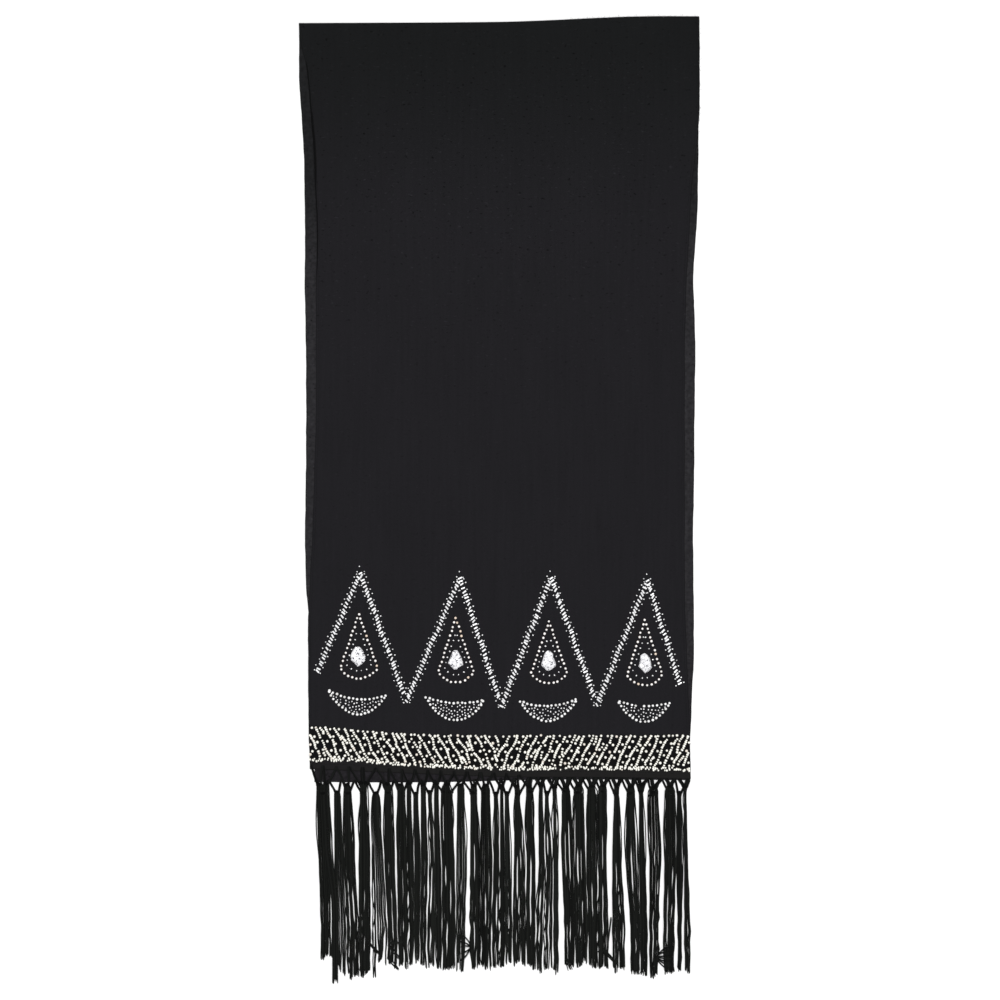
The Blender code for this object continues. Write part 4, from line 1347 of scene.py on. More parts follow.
# Middle of each slit at the three levels, then its width there, all in millimetres.
SLITS = (
    (-228.6, -225.9, -223.3, 0.0, 0.0, 0.0), (-209.4, -206.8, -205.6, 6.3, 3.5, 0.4),
    (-195.6, -194.4, -190.4, 3.8, 0.9, 1.8), (-179.4, -178.1, -175.1, 11.3, 6.3, 1.8),
    (-161.9, -160.5, -159.5, 6.3, 2.8, 3.5), (-146.3, -143.8, -139.4, 6.3, 1.9, 2.5),
    (-130.6, -129.3, -126.9, 6.3, 4.1, 2.5), (-116.3, -115.0, -113.3, 2.1, 0.4, 3.5),
    (-108.4, -106.8, -106.3, 2.8, 1.5, 0.4), (-99.4, -97.3, -98.8, 3.5, 0.8, 1.3),
    (-90.0, -87.0, -90.3, 2.5, 4.1, 2.5), (-82.5, -80.6, -80.0, 2.8, 0.0, 0.0),
    (-73.8, -71.9, -71.3, 3.5, 2.5, 1.8), (-55.6, -54.6, -54.1, 6.3, 3.0, 1.8),
    (-39.4, -38.0, -39.4, 7.5, 5.0, 7.5), (-25.0, -23.4, -22.5, 5.0, 1.3, 0.4),
    (-8.8, -7.5, -9.4, 4.8, 2.1, 2.1), (0.0, 1.0, 1.3, 2.8, 2.0, 1.9),
    (6.3, 7.5, 7.5, 2.0, 0.4, 0.0), (16.0, 16.9, 16.9, 7.4, 4.8, 1.8),
    (30.0, 33.1, 33.8, 7.6, 4.4, 0.6), (46.3, 47.5, 45.6, 8.3, 5.0, 2.5),
    (56.0, 57.5, 55.0, 2.5, 0.0, 1.6), (64.6, 68.0, 67.5, 5.1, 1.4, 2.5),
    (74.9, 76.3, 78.1, 7.1, 5.3, 8.8), (91.3, 92.9, 95.0, 4.5, 1.8, 0.0),
    (108.1, 108.6, 111.3, 3.9, 2.1, 1.3), (123.1, 123.8, 123.1, 2.0, 3.4, 1.5),
    (139.4, 138.0, 139.3, 8.8, 8.4, 6.3), (154.8, 155.6, 161.3, 9.6, 6.3, 8.1),
    (172.5, 174.5, 176.3, 5.0, 2.0, 0.0), (183.4, 185.6, 186.9, 6.6, 6.3, 3.8),
    (203.4, 204.4, 202.5, 8.4, 6.3, 7.5), (221.3, 221.3, 221.3, 2.5, 1.4, 5.6),
    (229.9, 231.3, 230.0, 3.8, 1.5, 4.4), (234.6, 236.6, 239.6, 0.0, 0.0, 0.0),
)

# Where the strands end: (x, y) of the fringe's lower outline.
TIP_LINE = (
    (-0.2350, -0.5640), (-0.2220, -0.5700), (-0.2060, -0.5760), (-0.1950, -0.5930), (-0.1800, -0.5950),
    (-0.1650, -0.5930), (-0.1450, -0.5830), (-0.1300, -0.5790), (-0.1050, -0.5790), (-0.0850, -0.5850),
    (-0.0400, -0.5840), (0.0050, -0.5830), (0.0270, -0.5760), (0.0430, -0.5850), (0.0700, -0.5890),
    (0.0900, -0.5840), (0.1080, -0.5780), (0.1220, -0.5820), (0.1600, -0.5860), (0.1950, -0.5950),
    (0.2150, -0.5880), (0.2450, -0.5910),
)


@dataclass(frozen=True)
class Crossing:
    """Some threads that cross an opening near their ends, and spread like a fan."""

    start: tuple[float, float]
    end: tuple[float, float]
    spread: float               # how far apart they end
    threads: int

    def lines(self, rng: random.Random, level: float) -> list[Line]:
        """Return the threads, which run on a little over the strands at both sides.

        Args:
            rng: Source of their unevenness.
            level: The height of the lowest one.

        Returns:
            Each thread's points as (x, y, z).
        """
        share = np.linspace(-0.12, 1.12, 12)
        lines = []
        for rank in range(self.threads):
            fan = (rank + 0.5 + rng.uniform(-0.25, 0.25)) / self.threads - 0.5
            x = mix(self.start[0], self.end[0], share) + rng.uniform(-0.6, 0.6) * MM
            y = mix(self.start[1] + fan * 3.0 * MM, self.end[1] + fan * self.spread, share)
            y = y + (fan * 0.16 * self.spread + rng.uniform(-0.8, 0.8) * MM) * np.sin(math.pi * share)
            lines.append(np.stack([x, y, np.full_like(x, level + 0.2 * rank * MM)], axis=-1))
        return lines


CROSSINGS = (
    Crossing((0.1965, -0.5700), (0.2125, -0.5715), 32 * MM, 7),
    Crossing((-0.0350, -0.5570), (-0.0465, -0.5585), 42 * MM, 5),
    Crossing((0.1325, -0.5620), (0.1460, -0.5765), 3 * MM, 3),
    Crossing((0.1210, -0.5625), (0.1330, -0.5620), 0.0, 1),
    Crossing((0.1400, -0.5250), (0.1355, -0.5610), 3 * MM, 2),
    Crossing((-0.1645, -0.5500), (-0.1515, -0.5640), 4 * MM, 3),
    Crossing((-0.1370, -0.5560), (-0.1265, -0.5690), 4 * MM, 2),
    Crossing((-0.1365, -0.5520), (-0.1210, -0.5515), 2 * MM, 2),
    Crossing((-0.1380, -0.5720), (-0.1270, -0.5840), 3 * MM, 2),
    Crossing((0.0050, -0.5250), (0.0145, -0.5420), 4 * MM, 2),
)


def sway(x: np.ndarray, y: np.ndarray) -> np.ndarray:
    """Return how far the strands wave sideways at a place, where neighbours wave together."""
    reach = mix(0.12, 0.42, ease((-0.450 - y) / 0.11)) * MM
    slow = np.sin(y / (7.4 * MM) + x / (4.3 * MM))
    quick = np.sin(y / (4.1 * MM) - x / (6.3 * MM) + 1.3)
    return reach * (slow + 0.6 * quick) / 1.3


# The strips that have no fine slits, counted from the left.
PLAIN_STRIPS = (0, 1, 4)

# Fine slits open at the first y at the highest and at the second at the lowest. One that would close
# below the third stays open to the fourth, past the strands' ends.
FINE_SLIT_LEVELS = (-0.378, -0.570, -0.575, -0.700)

# How far apart they are and how long, the longest gap from one to the next below it, and their widths, all
# in millimetres.
FINE_SLIT_PITCH = (4.4, 6.4)
FINE_SLIT_LENGTH = (30.0, 95.0)
FINE_SLIT_GAP = 50.0
FINE_SLIT_WIDTHS = (0.05, 0.1, 0.15, 0.3, 0.5)


@dataclass(frozen=True)
class FineSlit:
    """A narrow slit inside a strip, pointed at both ends."""

    lane: float             # its place, as a share of the strip
    start: float            # the y where it opens
    end: float              # the y where it is closed again
    width: float
    growth: float = 14.0 * MM
    reach: float = 3.2 * MM

    def push(self, away: np.ndarray, y: np.ndarray, thickness: float) -> np.ndarray:
        """Return how far threads at a distance from the slit's middle are pushed out of it."""
        half = (self.width + thickness) / 2 * window(y, self.end, self.start, self.growth)
        pushed = np.sign(away) * (half + np.abs(away) * (self.reach - half) / self.reach) - away
        return np.where(np.abs(away) < self.reach, pushed, 0.0)


@dataclass(frozen=True)
class Strip:
    """The space between two slits, which the strands of some bundles fill."""

    left: tuple[float, ...]
    right: tuple[float, ...]
    fine: tuple[FineSlit, ...]

    @staticmethod
    def edge(slit: tuple[float, ...], y: np.ndarray | float, side: float) -> np.ndarray:
        """Return the x of a slit's edge at a level, with side -1 for its left and 1 for its right."""
        levels = -np.array(SLIT_LEVELS)
        middle = np.interp(-y, levels, slit[:3])
        half = np.interp(-y, levels, slit[3:]) / 2
        half = np.maximum(half - np.interp(-y, levels, SLIT_TRIMS), half * SLIT_LEAST)
        return (middle + side * half) * MM

    def span(self, y: np.ndarray | float) -> tuple[np.ndarray, np.ndarray]:
        """Return the strip's left and right edges at a level."""
        return self.edge(self.left, y, 1.0), self.edge(self.right, y, -1.0)

    def place(self, lane: float, y: np.ndarray, thickness: float) -> np.ndarray:
        """Return the x of a thread's middle.

        Args:
            lane: The thread's place, from 0 to 1 across the strip.
            y: The levels at which it is wanted.
            thickness: The thread's own, which keeps clear of the slits.

        Returns:
            As many values of x.
        """
        left, right = self.span(y)
        room = np.maximum(right - left - thickness, 0.2 * MM)
        start = (left + right - room) / 2
        x = start + room * lane
        for slit in self.fine:
            x = x + slit.push(x - start - room * slit.lane, y, thickness)
        return x


def make_strips(seed: int = 8) -> list[Strip]:
    """Return the strips between the slits, each with some fine slits of its own."""
    rng = random.Random(seed)
    highest, lowest, closing, past = FINE_SLIT_LEVELS
    strips = []
    for left, right in zip(SLITS, SLITS[1:]):
        width = right[2] - right[5] / 2 - left[2] - left[5] / 2
        count = max(0, round(width / rng.uniform(*FINE_SLIT_PITCH)) - 1)
        fine = []
        for i in range(count):
            start = highest - 0.110 * rng.random() ** 0.6
            while start > lowest:
                lane = (i + 1 + rng.uniform(-0.25, 0.25)) / (count + 1)
                end = start - rng.uniform(*FINE_SLIT_LENGTH) * MM
                width = rng.choice(FINE_SLIT_WIDTHS) * MM
                fine.append(FineSlit(lane, start, end if end > closing else past, width))
                start = end - rng.uniform(0.0, FINE_SLIT_GAP) * MM
        strips.append(Strip(left, right, () if len(strips) in PLAIN_STRIPS else tuple(fine)))
    return strips


@dataclass(frozen=True)
class Lock:
    """A few threads of a bundle that end together."""

    fall: float             # how much higher it ends than its neighbours
    bend: float             # how strongly it curls at its end, in radians per metre
    level: int
    swing: float            # how far it waves sideways near its end
    wave: float             # the length of a wave, over 2 pi
    phase: float
    lane: float             # its middle, as a share of its strip
    calm: float = 70 * MM   # it doesn't wave before it has fallen this far
    growth: float = 100 * MM

    def waved(self, fallen: np.ndarray) -> np.ndarray:
        """Return how far the lock waves sideways, by how far it has fallen."""
        swing = self.swing * ease((fallen - self.calm) / self.growth)
        return swing * np.sin(fallen / self.wave + self.phase)


@dataclass
class Fringe:
    """One knotted fringe: leg cords, knots and loose threads, hung from a hem."""

    name: str
    node: str
    hem: Callable[[float], float]
    left: float
    right: float
    bundles: int
    strips: list[Strip]
    cloth_top: float            # the leg cords start on the cloth at this height
    level: float                # the lowest threads' middle
    knot_line: float            # the y that most knots hang at
    root_rise: float            # how far inside the hem the leg cords are sewn in
    roots_end: float            # right of this x they come out from under the hem
    seed: int
    long_bundle: int | None = None
    crossings: tuple[Crossing, ...] = ()
    threads: int = 10           # a bundle's at least
    locks: int = 3
    wide_level: float = -0.50   # the y at which the strips' widths count
    foot_level: float = -0.53   # the y at which a thread's place says where it ends
    long_foot: tuple[float, float] = (-0.2050, -0.6040)     # where the long bundle ends
    gather: float = 4.0 * MM    # the threads spread to their full width within this
    thickness: float = 1.34 * MM
    cord: float = 2.15 * MM
    knot_size: tuple[float, float] = (7.4 * MM, 5.4 * MM)
    layer: float = 0.62 * MM    # from one layer of threads to the next
    floor: float = 0.45 * MM    # no thread's middle lies lower
    pinch: float = 0.30         # how far a lock draws together near its end, as a share
    pinch_run: float = 24.0 * MM
    rows: int = 34
    tail_steps: int = 8

    def __post_init__(self) -> None:
        """Find the strip that each bundle falls in, and place the knots over it."""
        rng = self.rng = random.Random(self.seed)
        self.pitch = (self.right - self.left) / self.bundles
        roots = [self.left + (i + 0.5 + rng.uniform(-0.05, 0.05)) * self.pitch for i in range(self.bundles)]
        self.homes = [self.strip_at(x) for x in roots]
        self.knots = []
        for i, root in enumerate(roots):
            y = mix(float(self.hem(root)) - 12 * MM, self.knot_line, 0.7) + rng.uniform(-1.6, 1.6) * MM
            left, right = (float(edge) for edge in self.homes[i].span(y))
            low, high = self.share_of(i)
            x = mix(root, mix(left, right, (low + high) / 2), 0.8)
            self.knots.append((x, y, self.level + self.layer))

    def strip_at(self, x: float) -> Strip:
        """Return the strip that a bundle at x hangs over."""
        ends = [strip.right[0] * MM for strip in self.strips]
        return self.strips[min(int(np.searchsorted(ends, x)), len(ends) - 1)]

    def share_of(self, bundle: int) -> tuple[float, float]:
        """Return what part of its strip a bundle fills, as shares from 0 to 1."""
        mates = [i for i, strip in enumerate(self.homes) if strip is self.homes[bundle]]
        rank, count = mates.index(bundle), len(mates)
        return max(0.0, (rank - 0.12) / count), min(1.0, (rank + 1.12) / count)

    def count_of(self, bundle: int) -> int:
        """Return how many threads a bundle has: more where it fills a wide strip."""
        left, right = (float(edge) for edge in self.homes[bundle].span(self.wide_level))
        low, high = self.share_of(bundle)
        return max(self.threads, round((right - left) * (high - low) / self.thickness))

    def leg_lines(self) -> tuple[list[Line], list[np.ndarray]]:
        """Return the leg cords' lines, two or three from each side to each knot, and their taper."""
        rng = self.rng
        lines = []
        for i, knot in enumerate(self.knots):
            for side, inward in ((0, 1.0), (1, -1.0)):
                root_x = self.left + (i + side) * self.pitch + rng.uniform(-0.9, 0.9) * MM
                shown = float(ease((self.roots_end - root_x) / (60 * MM)))
                bow = rng.uniform(-0.9, 0.9) * MM
                lines += [self.leg(knot, root_x, inward, shown, bow, cord)
                          for cord in range(2 if shown > 0.5 else 3)]
        return lines, [np.ones(len(line)) for line in lines]

    def leg(self, knot: tuple[float, float, float], root_x: float, inward: float, shown: float, bow: float,
            cord: int) -> Line:
        """Return one leg cord.

        Args:
            knot: The knot that it runs to.
            root_x: Where its leg starts at the hem.
            inward: 1 for a leg that comes from the knot's left, -1 from its right.
            shown: 1 where the leg is sewn on the cloth, 0 where it comes out from under the hem.
            bow: How far the leg bends sideways.
            cord: The cord's number in its leg.

        Returns:
            Points as (x, y, z).
        """
        knot_x, knot_y, knot_z = knot
        apart = mix(1.5, 1.0, shown)
        start_x = root_x + inward * (0.2 + apart * cord) * MM
        foot_x = knot_x - inward * (2.8 - apart * cord) * MM
        hem_y = float(self.hem(start_x))
        rise = mix(0.5 * MM, self.root_rise, shown)
        root_z = self.cloth_top + mix(-1.2, 0.55, shown) * MM

        def between(run: float, bend: float, y: float, z: float) -> tuple[float, float, float]:
            """Return a place at a share of the leg's sideways run and of its bend."""
            return mix(start_x, foot_x, run) + bow * bend, y, z

        points = [
            (start_x - inward * 0.5 * MM, hem_y + rise + 0.9 * MM, root_z - 0.85 * MM),
            (start_x, hem_y + rise, root_z),
            between(0.14, 0.4, hem_y + 0.2 * MM, root_z - 0.05 * MM),
            between(0.30, 0.8, hem_y - 2.0 * MM, mix(self.cloth_top, knot_z, 0.55)),
            between(0.58, 1.0, mix(hem_y, knot_y, 0.52), knot_z),
            between(0.86, 0.5, mix(hem_y, knot_y, 0.84), knot_z),
            (foot_x, knot_y - 1.5 * MM, knot_z),
        ]
        return along(np.array(points), 1.8 * MM)

    def bundle_lines(self, bundle: int) -> list[Line]:
        """Return the threads of one bundle, in locks that end together."""
        rng = self.rng
        low, high = self.share_of(bundle)
        count = self.count_of(bundle)
        cuts = sorted(rng.sample(range(2, count - 1), self.locks - 1))
        middles = [(start + end) / 2 / count for start, end in zip([0, *cuts], [*cuts, count])]
        locks = [self.make_lock(mix(low, high, middle)) for middle in middles]
        lines = []
        for i in range(count):
            share = (i + rng.uniform(-0.3, 0.3)) / (count - 1)
            lane = mix(low, high, min(max(share, 0.0), 1.0))
            lock = locks[sum(i >= cut for cut in cuts)]
            lines.append(self.thread(bundle, lane, (i + 0.5) / count - 0.5, lock))
        return lines

    def make_lock(self, lane: float) -> Lock:
        """Return a lock that hangs nearly straight, or now and then curls a little."""
        rng = self.rng
        bend = rng.choice((-1, 1)) * rng.uniform(8.0, 20.0) if rng.random() < 0.12 else rng.gauss(0.0, 3.5)
        return Lock(rng.gauss(0.0, 2.6) * MM, bend, rng.choice((0, 0, 1, 1, 2)), rng.uniform(0.05, 0.32) * MM,
                    rng.uniform(5.0, 10.0) * MM, rng.uniform(0.0, 2 * math.pi), lane)

    def thread(self, bundle: int, lane: float, rank: float, lock: Lock) -> Line:
        """Return one loose thread from its knot to its tip.

        Args:
            bundle: The number of its bundle.
            lane: Its place across its strip, from 0 to 1.
            rank: Its place in the bundle, from -0.5 to 0.5.
            lock: The lock that it belongs to.

        Returns:
            Points as (x, y, z).
        """
        rng = self.rng
        strip = self.homes[bundle]
        knot_x, knot_y, knot_z = self.knots[bundle]
        is_long = bundle == self.long_bundle
        places, ends = zip(*TIP_LINE)
        foot_x = float(strip.place(lane, np.array(self.foot_level), self.thickness))
        tip_y = float(np.interp(foot_x, places, ends)) + lock.fall + abs(rng.gauss(0.0, 1.7)) * MM
        bend = lock.bend + rng.gauss(0.0, 3.0)
        curl_run = mix(9.0, 20.0, min(abs(bend) / 20.0, 1.0)) * MM
        if is_long:
            tip_y = self.long_foot[1] + rng.uniform(0.0, 8.0) * MM
            bend = 6.0 * rank
        y = np.linspace(knot_y, tip_y + curl_run, self.rows)
        fallen = knot_y - y
        pinch = self.pinch * ease((tip_y + curl_run + self.pinch_run - y) / self.pinch_run)
        x = mix(strip.place(lane, y, self.thickness), strip.place(lock.lane, y, self.thickness), pinch)
        # Half of the threads at a strip's sides bow out into the slits, and a few threads wave far more.
        if abs(lane - 0.5) > 0.38 and rng.random() < 0.5:
            share = (fallen - rng.uniform(-10.0, 30.0) * MM) / (rng.uniform(35.0, 110.0) * MM)
            side = -1.0 if lane < 0.5 else 1.0
            x = x + side * rng.uniform(1.0, 2.4) * MM * np.sin(math.pi * np.clip(share, 0.0, 1.0))
        stray = rng.uniform(1.0, 2.2) * MM if rng.random() < 0.08 else 0.16 * MM
        free = ease((fallen - 60 * MM) / (110 * MM))
        x = x + stray * free * np.sin(fallen / (rng.uniform(6.0, 13.0) * MM) + rng.uniform(0, 6.28))
        x = x + sway(x, y) + lock.waved(fallen)
        tied = knot_x + rank * self.knot_size[0] * 0.86
        x = mix(tied, x, ease((fallen + 0.5 * MM) / self.gather))
        if is_long:
            clump = ease((fallen - 80 * MM) / (90 * MM))
            x = mix(x, self.long_foot[0] + rank * 6.5 * MM, clump)
        layer = self.level + self.layer * lock.level + rng.uniform(-0.15, 0.15) * MM
        z = mix(knot_z, layer, ease(fallen / (12 * MM)))
        return self.curled(np.stack([x, y, np.maximum(z, self.floor)], axis=-1), bend, curl_run)

    def curled(self, line: Line, bend: float, run: float) -> Line:
        """Lengthen a thread by its last stretch, which bends to one side more and more."""
        away = line[-1] - line[-2]
        heading = math.atan2(away[0], -away[1])
        step = run / self.tail_steps
        x, y, z = line[-1]
        tail = []
        for i in range(1, self.tail_steps + 1):
            share = i / self.tail_steps
            angle = heading * (1.0 - 0.6 * share) + bend * step * i * mix(0.3, 1.0, share)
            x += math.sin(angle) * step
            y -= math.cos(angle) * step
            tail.append((x, y, z + 0.5 * MM * min(abs(bend) / 60, 1.0) * share))
        return np.concatenate([line, np.array(tail)])

    def thread_lines(self) -> tuple[list[Line], list[np.ndarray]]:
        """Return every loose thread's line and its taper."""
        crossed = [line for crossing in self.crossings
                   for line in crossing.lines(self.rng, self.level + 2.5 * self.layer)]
        lines = [line for bundle in range(self.bundles) for line in self.bundle_lines(bundle)]
        tapers = []
        for line in lines:
            taper = np.full(len(line), self.rng.uniform(0.96, 1.18))
            taper[-3:] *= (0.95, 0.85, 0.55)
            tapers.append(taper)
        return lines + crossed, tapers + [np.full(len(line), 1.3) for line in crossed]

    def dress(self, finish: bpy.types.Material, tied: bpy.types.Material) -> bpy.types.Object:
        """Make the piece in one mesh: threads of one finish, and legs and knots of another."""
        spin = thread_tree()
        meshes = []
        for (lines, tapers), size, yarn in ((self.thread_lines(), self.thickness, finish),
                                            (self.leg_lines(), self.cord, tied)):
            tints = [np.full(len(line), self.rng.random()) for line in lines]
            carrier = wires(lines, taper=tapers, tint=tints)
            meshes.append(grow(carrier, spin, Thickness=size, Sides=5, Finish=yarn))
        knots = wires([np.array([(x, y + 0.2 * MM, z)]) for x, y, z in self.knots])
        width, height = self.knot_size
        meshes.append(grow(knots, knot_tree(), Width=width - self.cord, Depth=2.0 * MM,
                           Height=height - self.cord, Thickness=self.cord, Turns=2.6, Seed=self.seed,
                           Finish=tied))
        return settle(self.name, meshes, Slot.THREAD, self.node)


# ---------------------------------------------------------------------------------------------------
# Beadwork
# ---------------------------------------------------------------------------------------------------

@dataclass
class Beader:
    """Sews rows of beads on the cloth."""

    height: Height
    finishes: dict[str, bpy.types.Material]
    seat: float = 0.46          # a bead's middle is this share of its size above the cloth

    def __post_init__(self) -> None:
        """Make the trees that every motif uses."""
        self.trees = {kind: bead_row_tree(kind) for kind in BeadKind}
        self.fill_tree = bead_fill_tree()
        self.bugle_tree = bugle_row_tree()

    def row(self, lines: Sequence[Line], kind: BeadKind, bead: float, pitch: float, finish: str, seed: int,
            spread: float = 0.08, wander: float = 0.3 * MM, missing: float = 0.0,
            closed: bool = False) -> bpy.types.Mesh:
        """Sew beads along lines.

        Args:
            lines: Points of each line as (x, y).
            kind: The beads' shape.
            bead: Their diameter.
            pitch: From one bead to the next.
            finish: The name of their finish.
            seed: For the unevenness.
            spread: How much their size varies, as a share.
            wander: How far a bead may lie off its place.
            missing: The share of beads left out.
            closed: Whether each line is a ring.

        Returns:
            The beads as one mesh.
        """
        carrier = wires([seated(line, self.height, self.seat * bead) for line in lines], closed)
        return grow(carrier, self.trees[kind], Pitch=pitch, Bead=bead, Spread=spread, Wander=wander,
                    Missing=missing, Seed=seed, Finish=self.finishes[finish])


@dataclass
class Zigzag:
    """Slanting bugle bars along a zigzag, with seed beads on both sides."""

    beader: Beader
    node: str = "zigzag_beading"
    bar: float = 2.3 * MM
    bar_length: float = 5.1 * MM
    bar_wall: float = 0.5 * MM
    bar_pitch: float = 4.3 * MM
    bar_edge: float = math.radians(60.0)    # edges sharper than this aren't smoothed
    slant: float = math.radians(67.0)
    wave: float = 1.3 * MM
    seed_bead: float = 1.95 * MM
    seed_pitch: float = 7.4 * MM
    seed_offset: float = 4.55 * MM

    def rows(self) -> tuple[list[Line], list[Line]]:
        """Return the arms of the zigzag, each with a slight wave of its own, and the lines beside them."""
        points = np.array(ZIGZAG_LINE)
        rng = np.random.default_rng(6)
        arms = []
        beside = []
        for a, b in zip(points, points[1:]):
            line = along(np.array([a, b]), 6 * MM)
            reach = np.linspace(0.0, np.linalg.norm(b - a), len(line))
            square = np.array([a[1] - b[1], b[0] - a[0]]) / reach[-1]
            wave = self.wave * ripple(rng, reach, (0.058, 0.031)) * np.sin(math.pi * reach / reach[-1])
            arms.append(line + wave[:, None] * square)
            beside += [arms[-1] + side * self.seed_offset * square for side in (-1.0, 1.0)]
        return arms, beside

    def dress(self) -> None:
        """Make the bars and the seed beads."""
        beader = self.beader
        arms, beside = self.rows()
        # Each arm but the last ends one or two points early, so that its bars keep off the next arm's.
        cuts = [2 if i % 2 else 1 for i in range(len(arms) - 1)] + [0]
        lines = [line[:len(line) - cut] for line, cut in zip(arms, cuts)]
        carrier = wires([seated(line, beader.height, self.bar / 2) for line in lines])
        bars = grow(carrier, beader.bugle_tree, Pitch=self.bar_pitch, Bead=self.bar, Length=self.bar_length,
                    Wall=self.bar_wall, Slant=self.slant, Turn=0.38, Wander=1.0 * MM, Seed=3,
                    Finish=beader.finishes["silver_bugle"])
        bars.set_sharp_from_angle(angle=self.bar_edge)
        peaks = [np.array([(x - 1 * MM, y + 8.0 * MM), (x + 0.5 * MM, y + 8.5 * MM)])
                 for x, y in ZIGZAG_LINE[1::2]]
        seeds = beader.row(beside, BeadKind.SEED, self.seed_bead, self.seed_pitch, "white_seed", 14,
                           spread=0.12, wander=0.9 * MM)
        tips = beader.row(peaks, BeadKind.SEED, self.seed_bead, 3 * MM, "white_seed", 15)
        settle("zigzag_bugles", [bars], Slot.GLASS, self.node)
        settle("zigzag_seeds", [seeds, tips], Slot.PEARL, self.node)


# Outline of each foil stone, clockwise from its top: shares of its half width and its half length.
STONE_OUTLINES = (
    ((-0.09, 1.00), (0.17, 0.98), (0.40, 0.83), (0.77, 0.45), (0.63, 0.23), (0.86, 0.25), (1.00, -0.09),
     (0.87, -0.27), (0.95, -0.39), (0.36, -0.83), (-0.09, -1.00), (-0.54, -0.61), (-0.93, -0.37),
     (-1.00, 0.00), (-0.90, 0.33), (-0.68, 0.66), (-0.41, 0.92)),
    ((-0.19, 0.98), (0.22, 1.00), (0.48, 0.65), (0.74, 0.30), (0.91, -0.16), (1.00, -0.50), (0.48, -0.74),
     (0.12, -1.00), (-0.23, -0.98), (-0.85, -0.51), (-1.00, -0.31), (-0.81, 0.07), (-0.61, 0.48),
     (-0.43, 0.83)),
    ((-0.10, 1.00), (0.26, 0.91), (0.60, 0.67), (0.62, 0.38), (0.85, 0.00), (1.00, -0.37), (0.89, -0.58),
     (0.49, -0.82), (0.01, -1.00), (-0.25, -0.97), (-0.69, -0.69), (-1.00, -0.45), (-0.93, -0.18),
     (-0.73, 0.27), (-0.62, 0.54), (-0.43, 0.83)),
    ((-0.11, 1.00), (0.19, 0.87), (0.56, 0.60), (0.75, 0.22), (0.83, -0.20), (0.86, -0.30), (1.00, -0.36),
     (0.71, -0.60), (0.41, -0.82), (0.04, -0.90), (-0.04, -1.00), (-0.60, -0.58), (-1.00, -0.31),
     (-0.86, 0.01), (-0.75, 0.44), (-0.70, 0.76), (-0.41, 0.92)),
)

# Rings of a foil stone from its seat up: shares of its plan and of its height. Those above the wall,
# which ends at WALL_SHARE, are crinkled.
STONE_RINGS = ((1.0, 0.0), (1.0, 0.45), (0.95, 0.66), (0.84, 0.88), (0.60, 0.95), (0.34, 0.98), (0.14, 1.0))
WALL_SHARE = 0.5


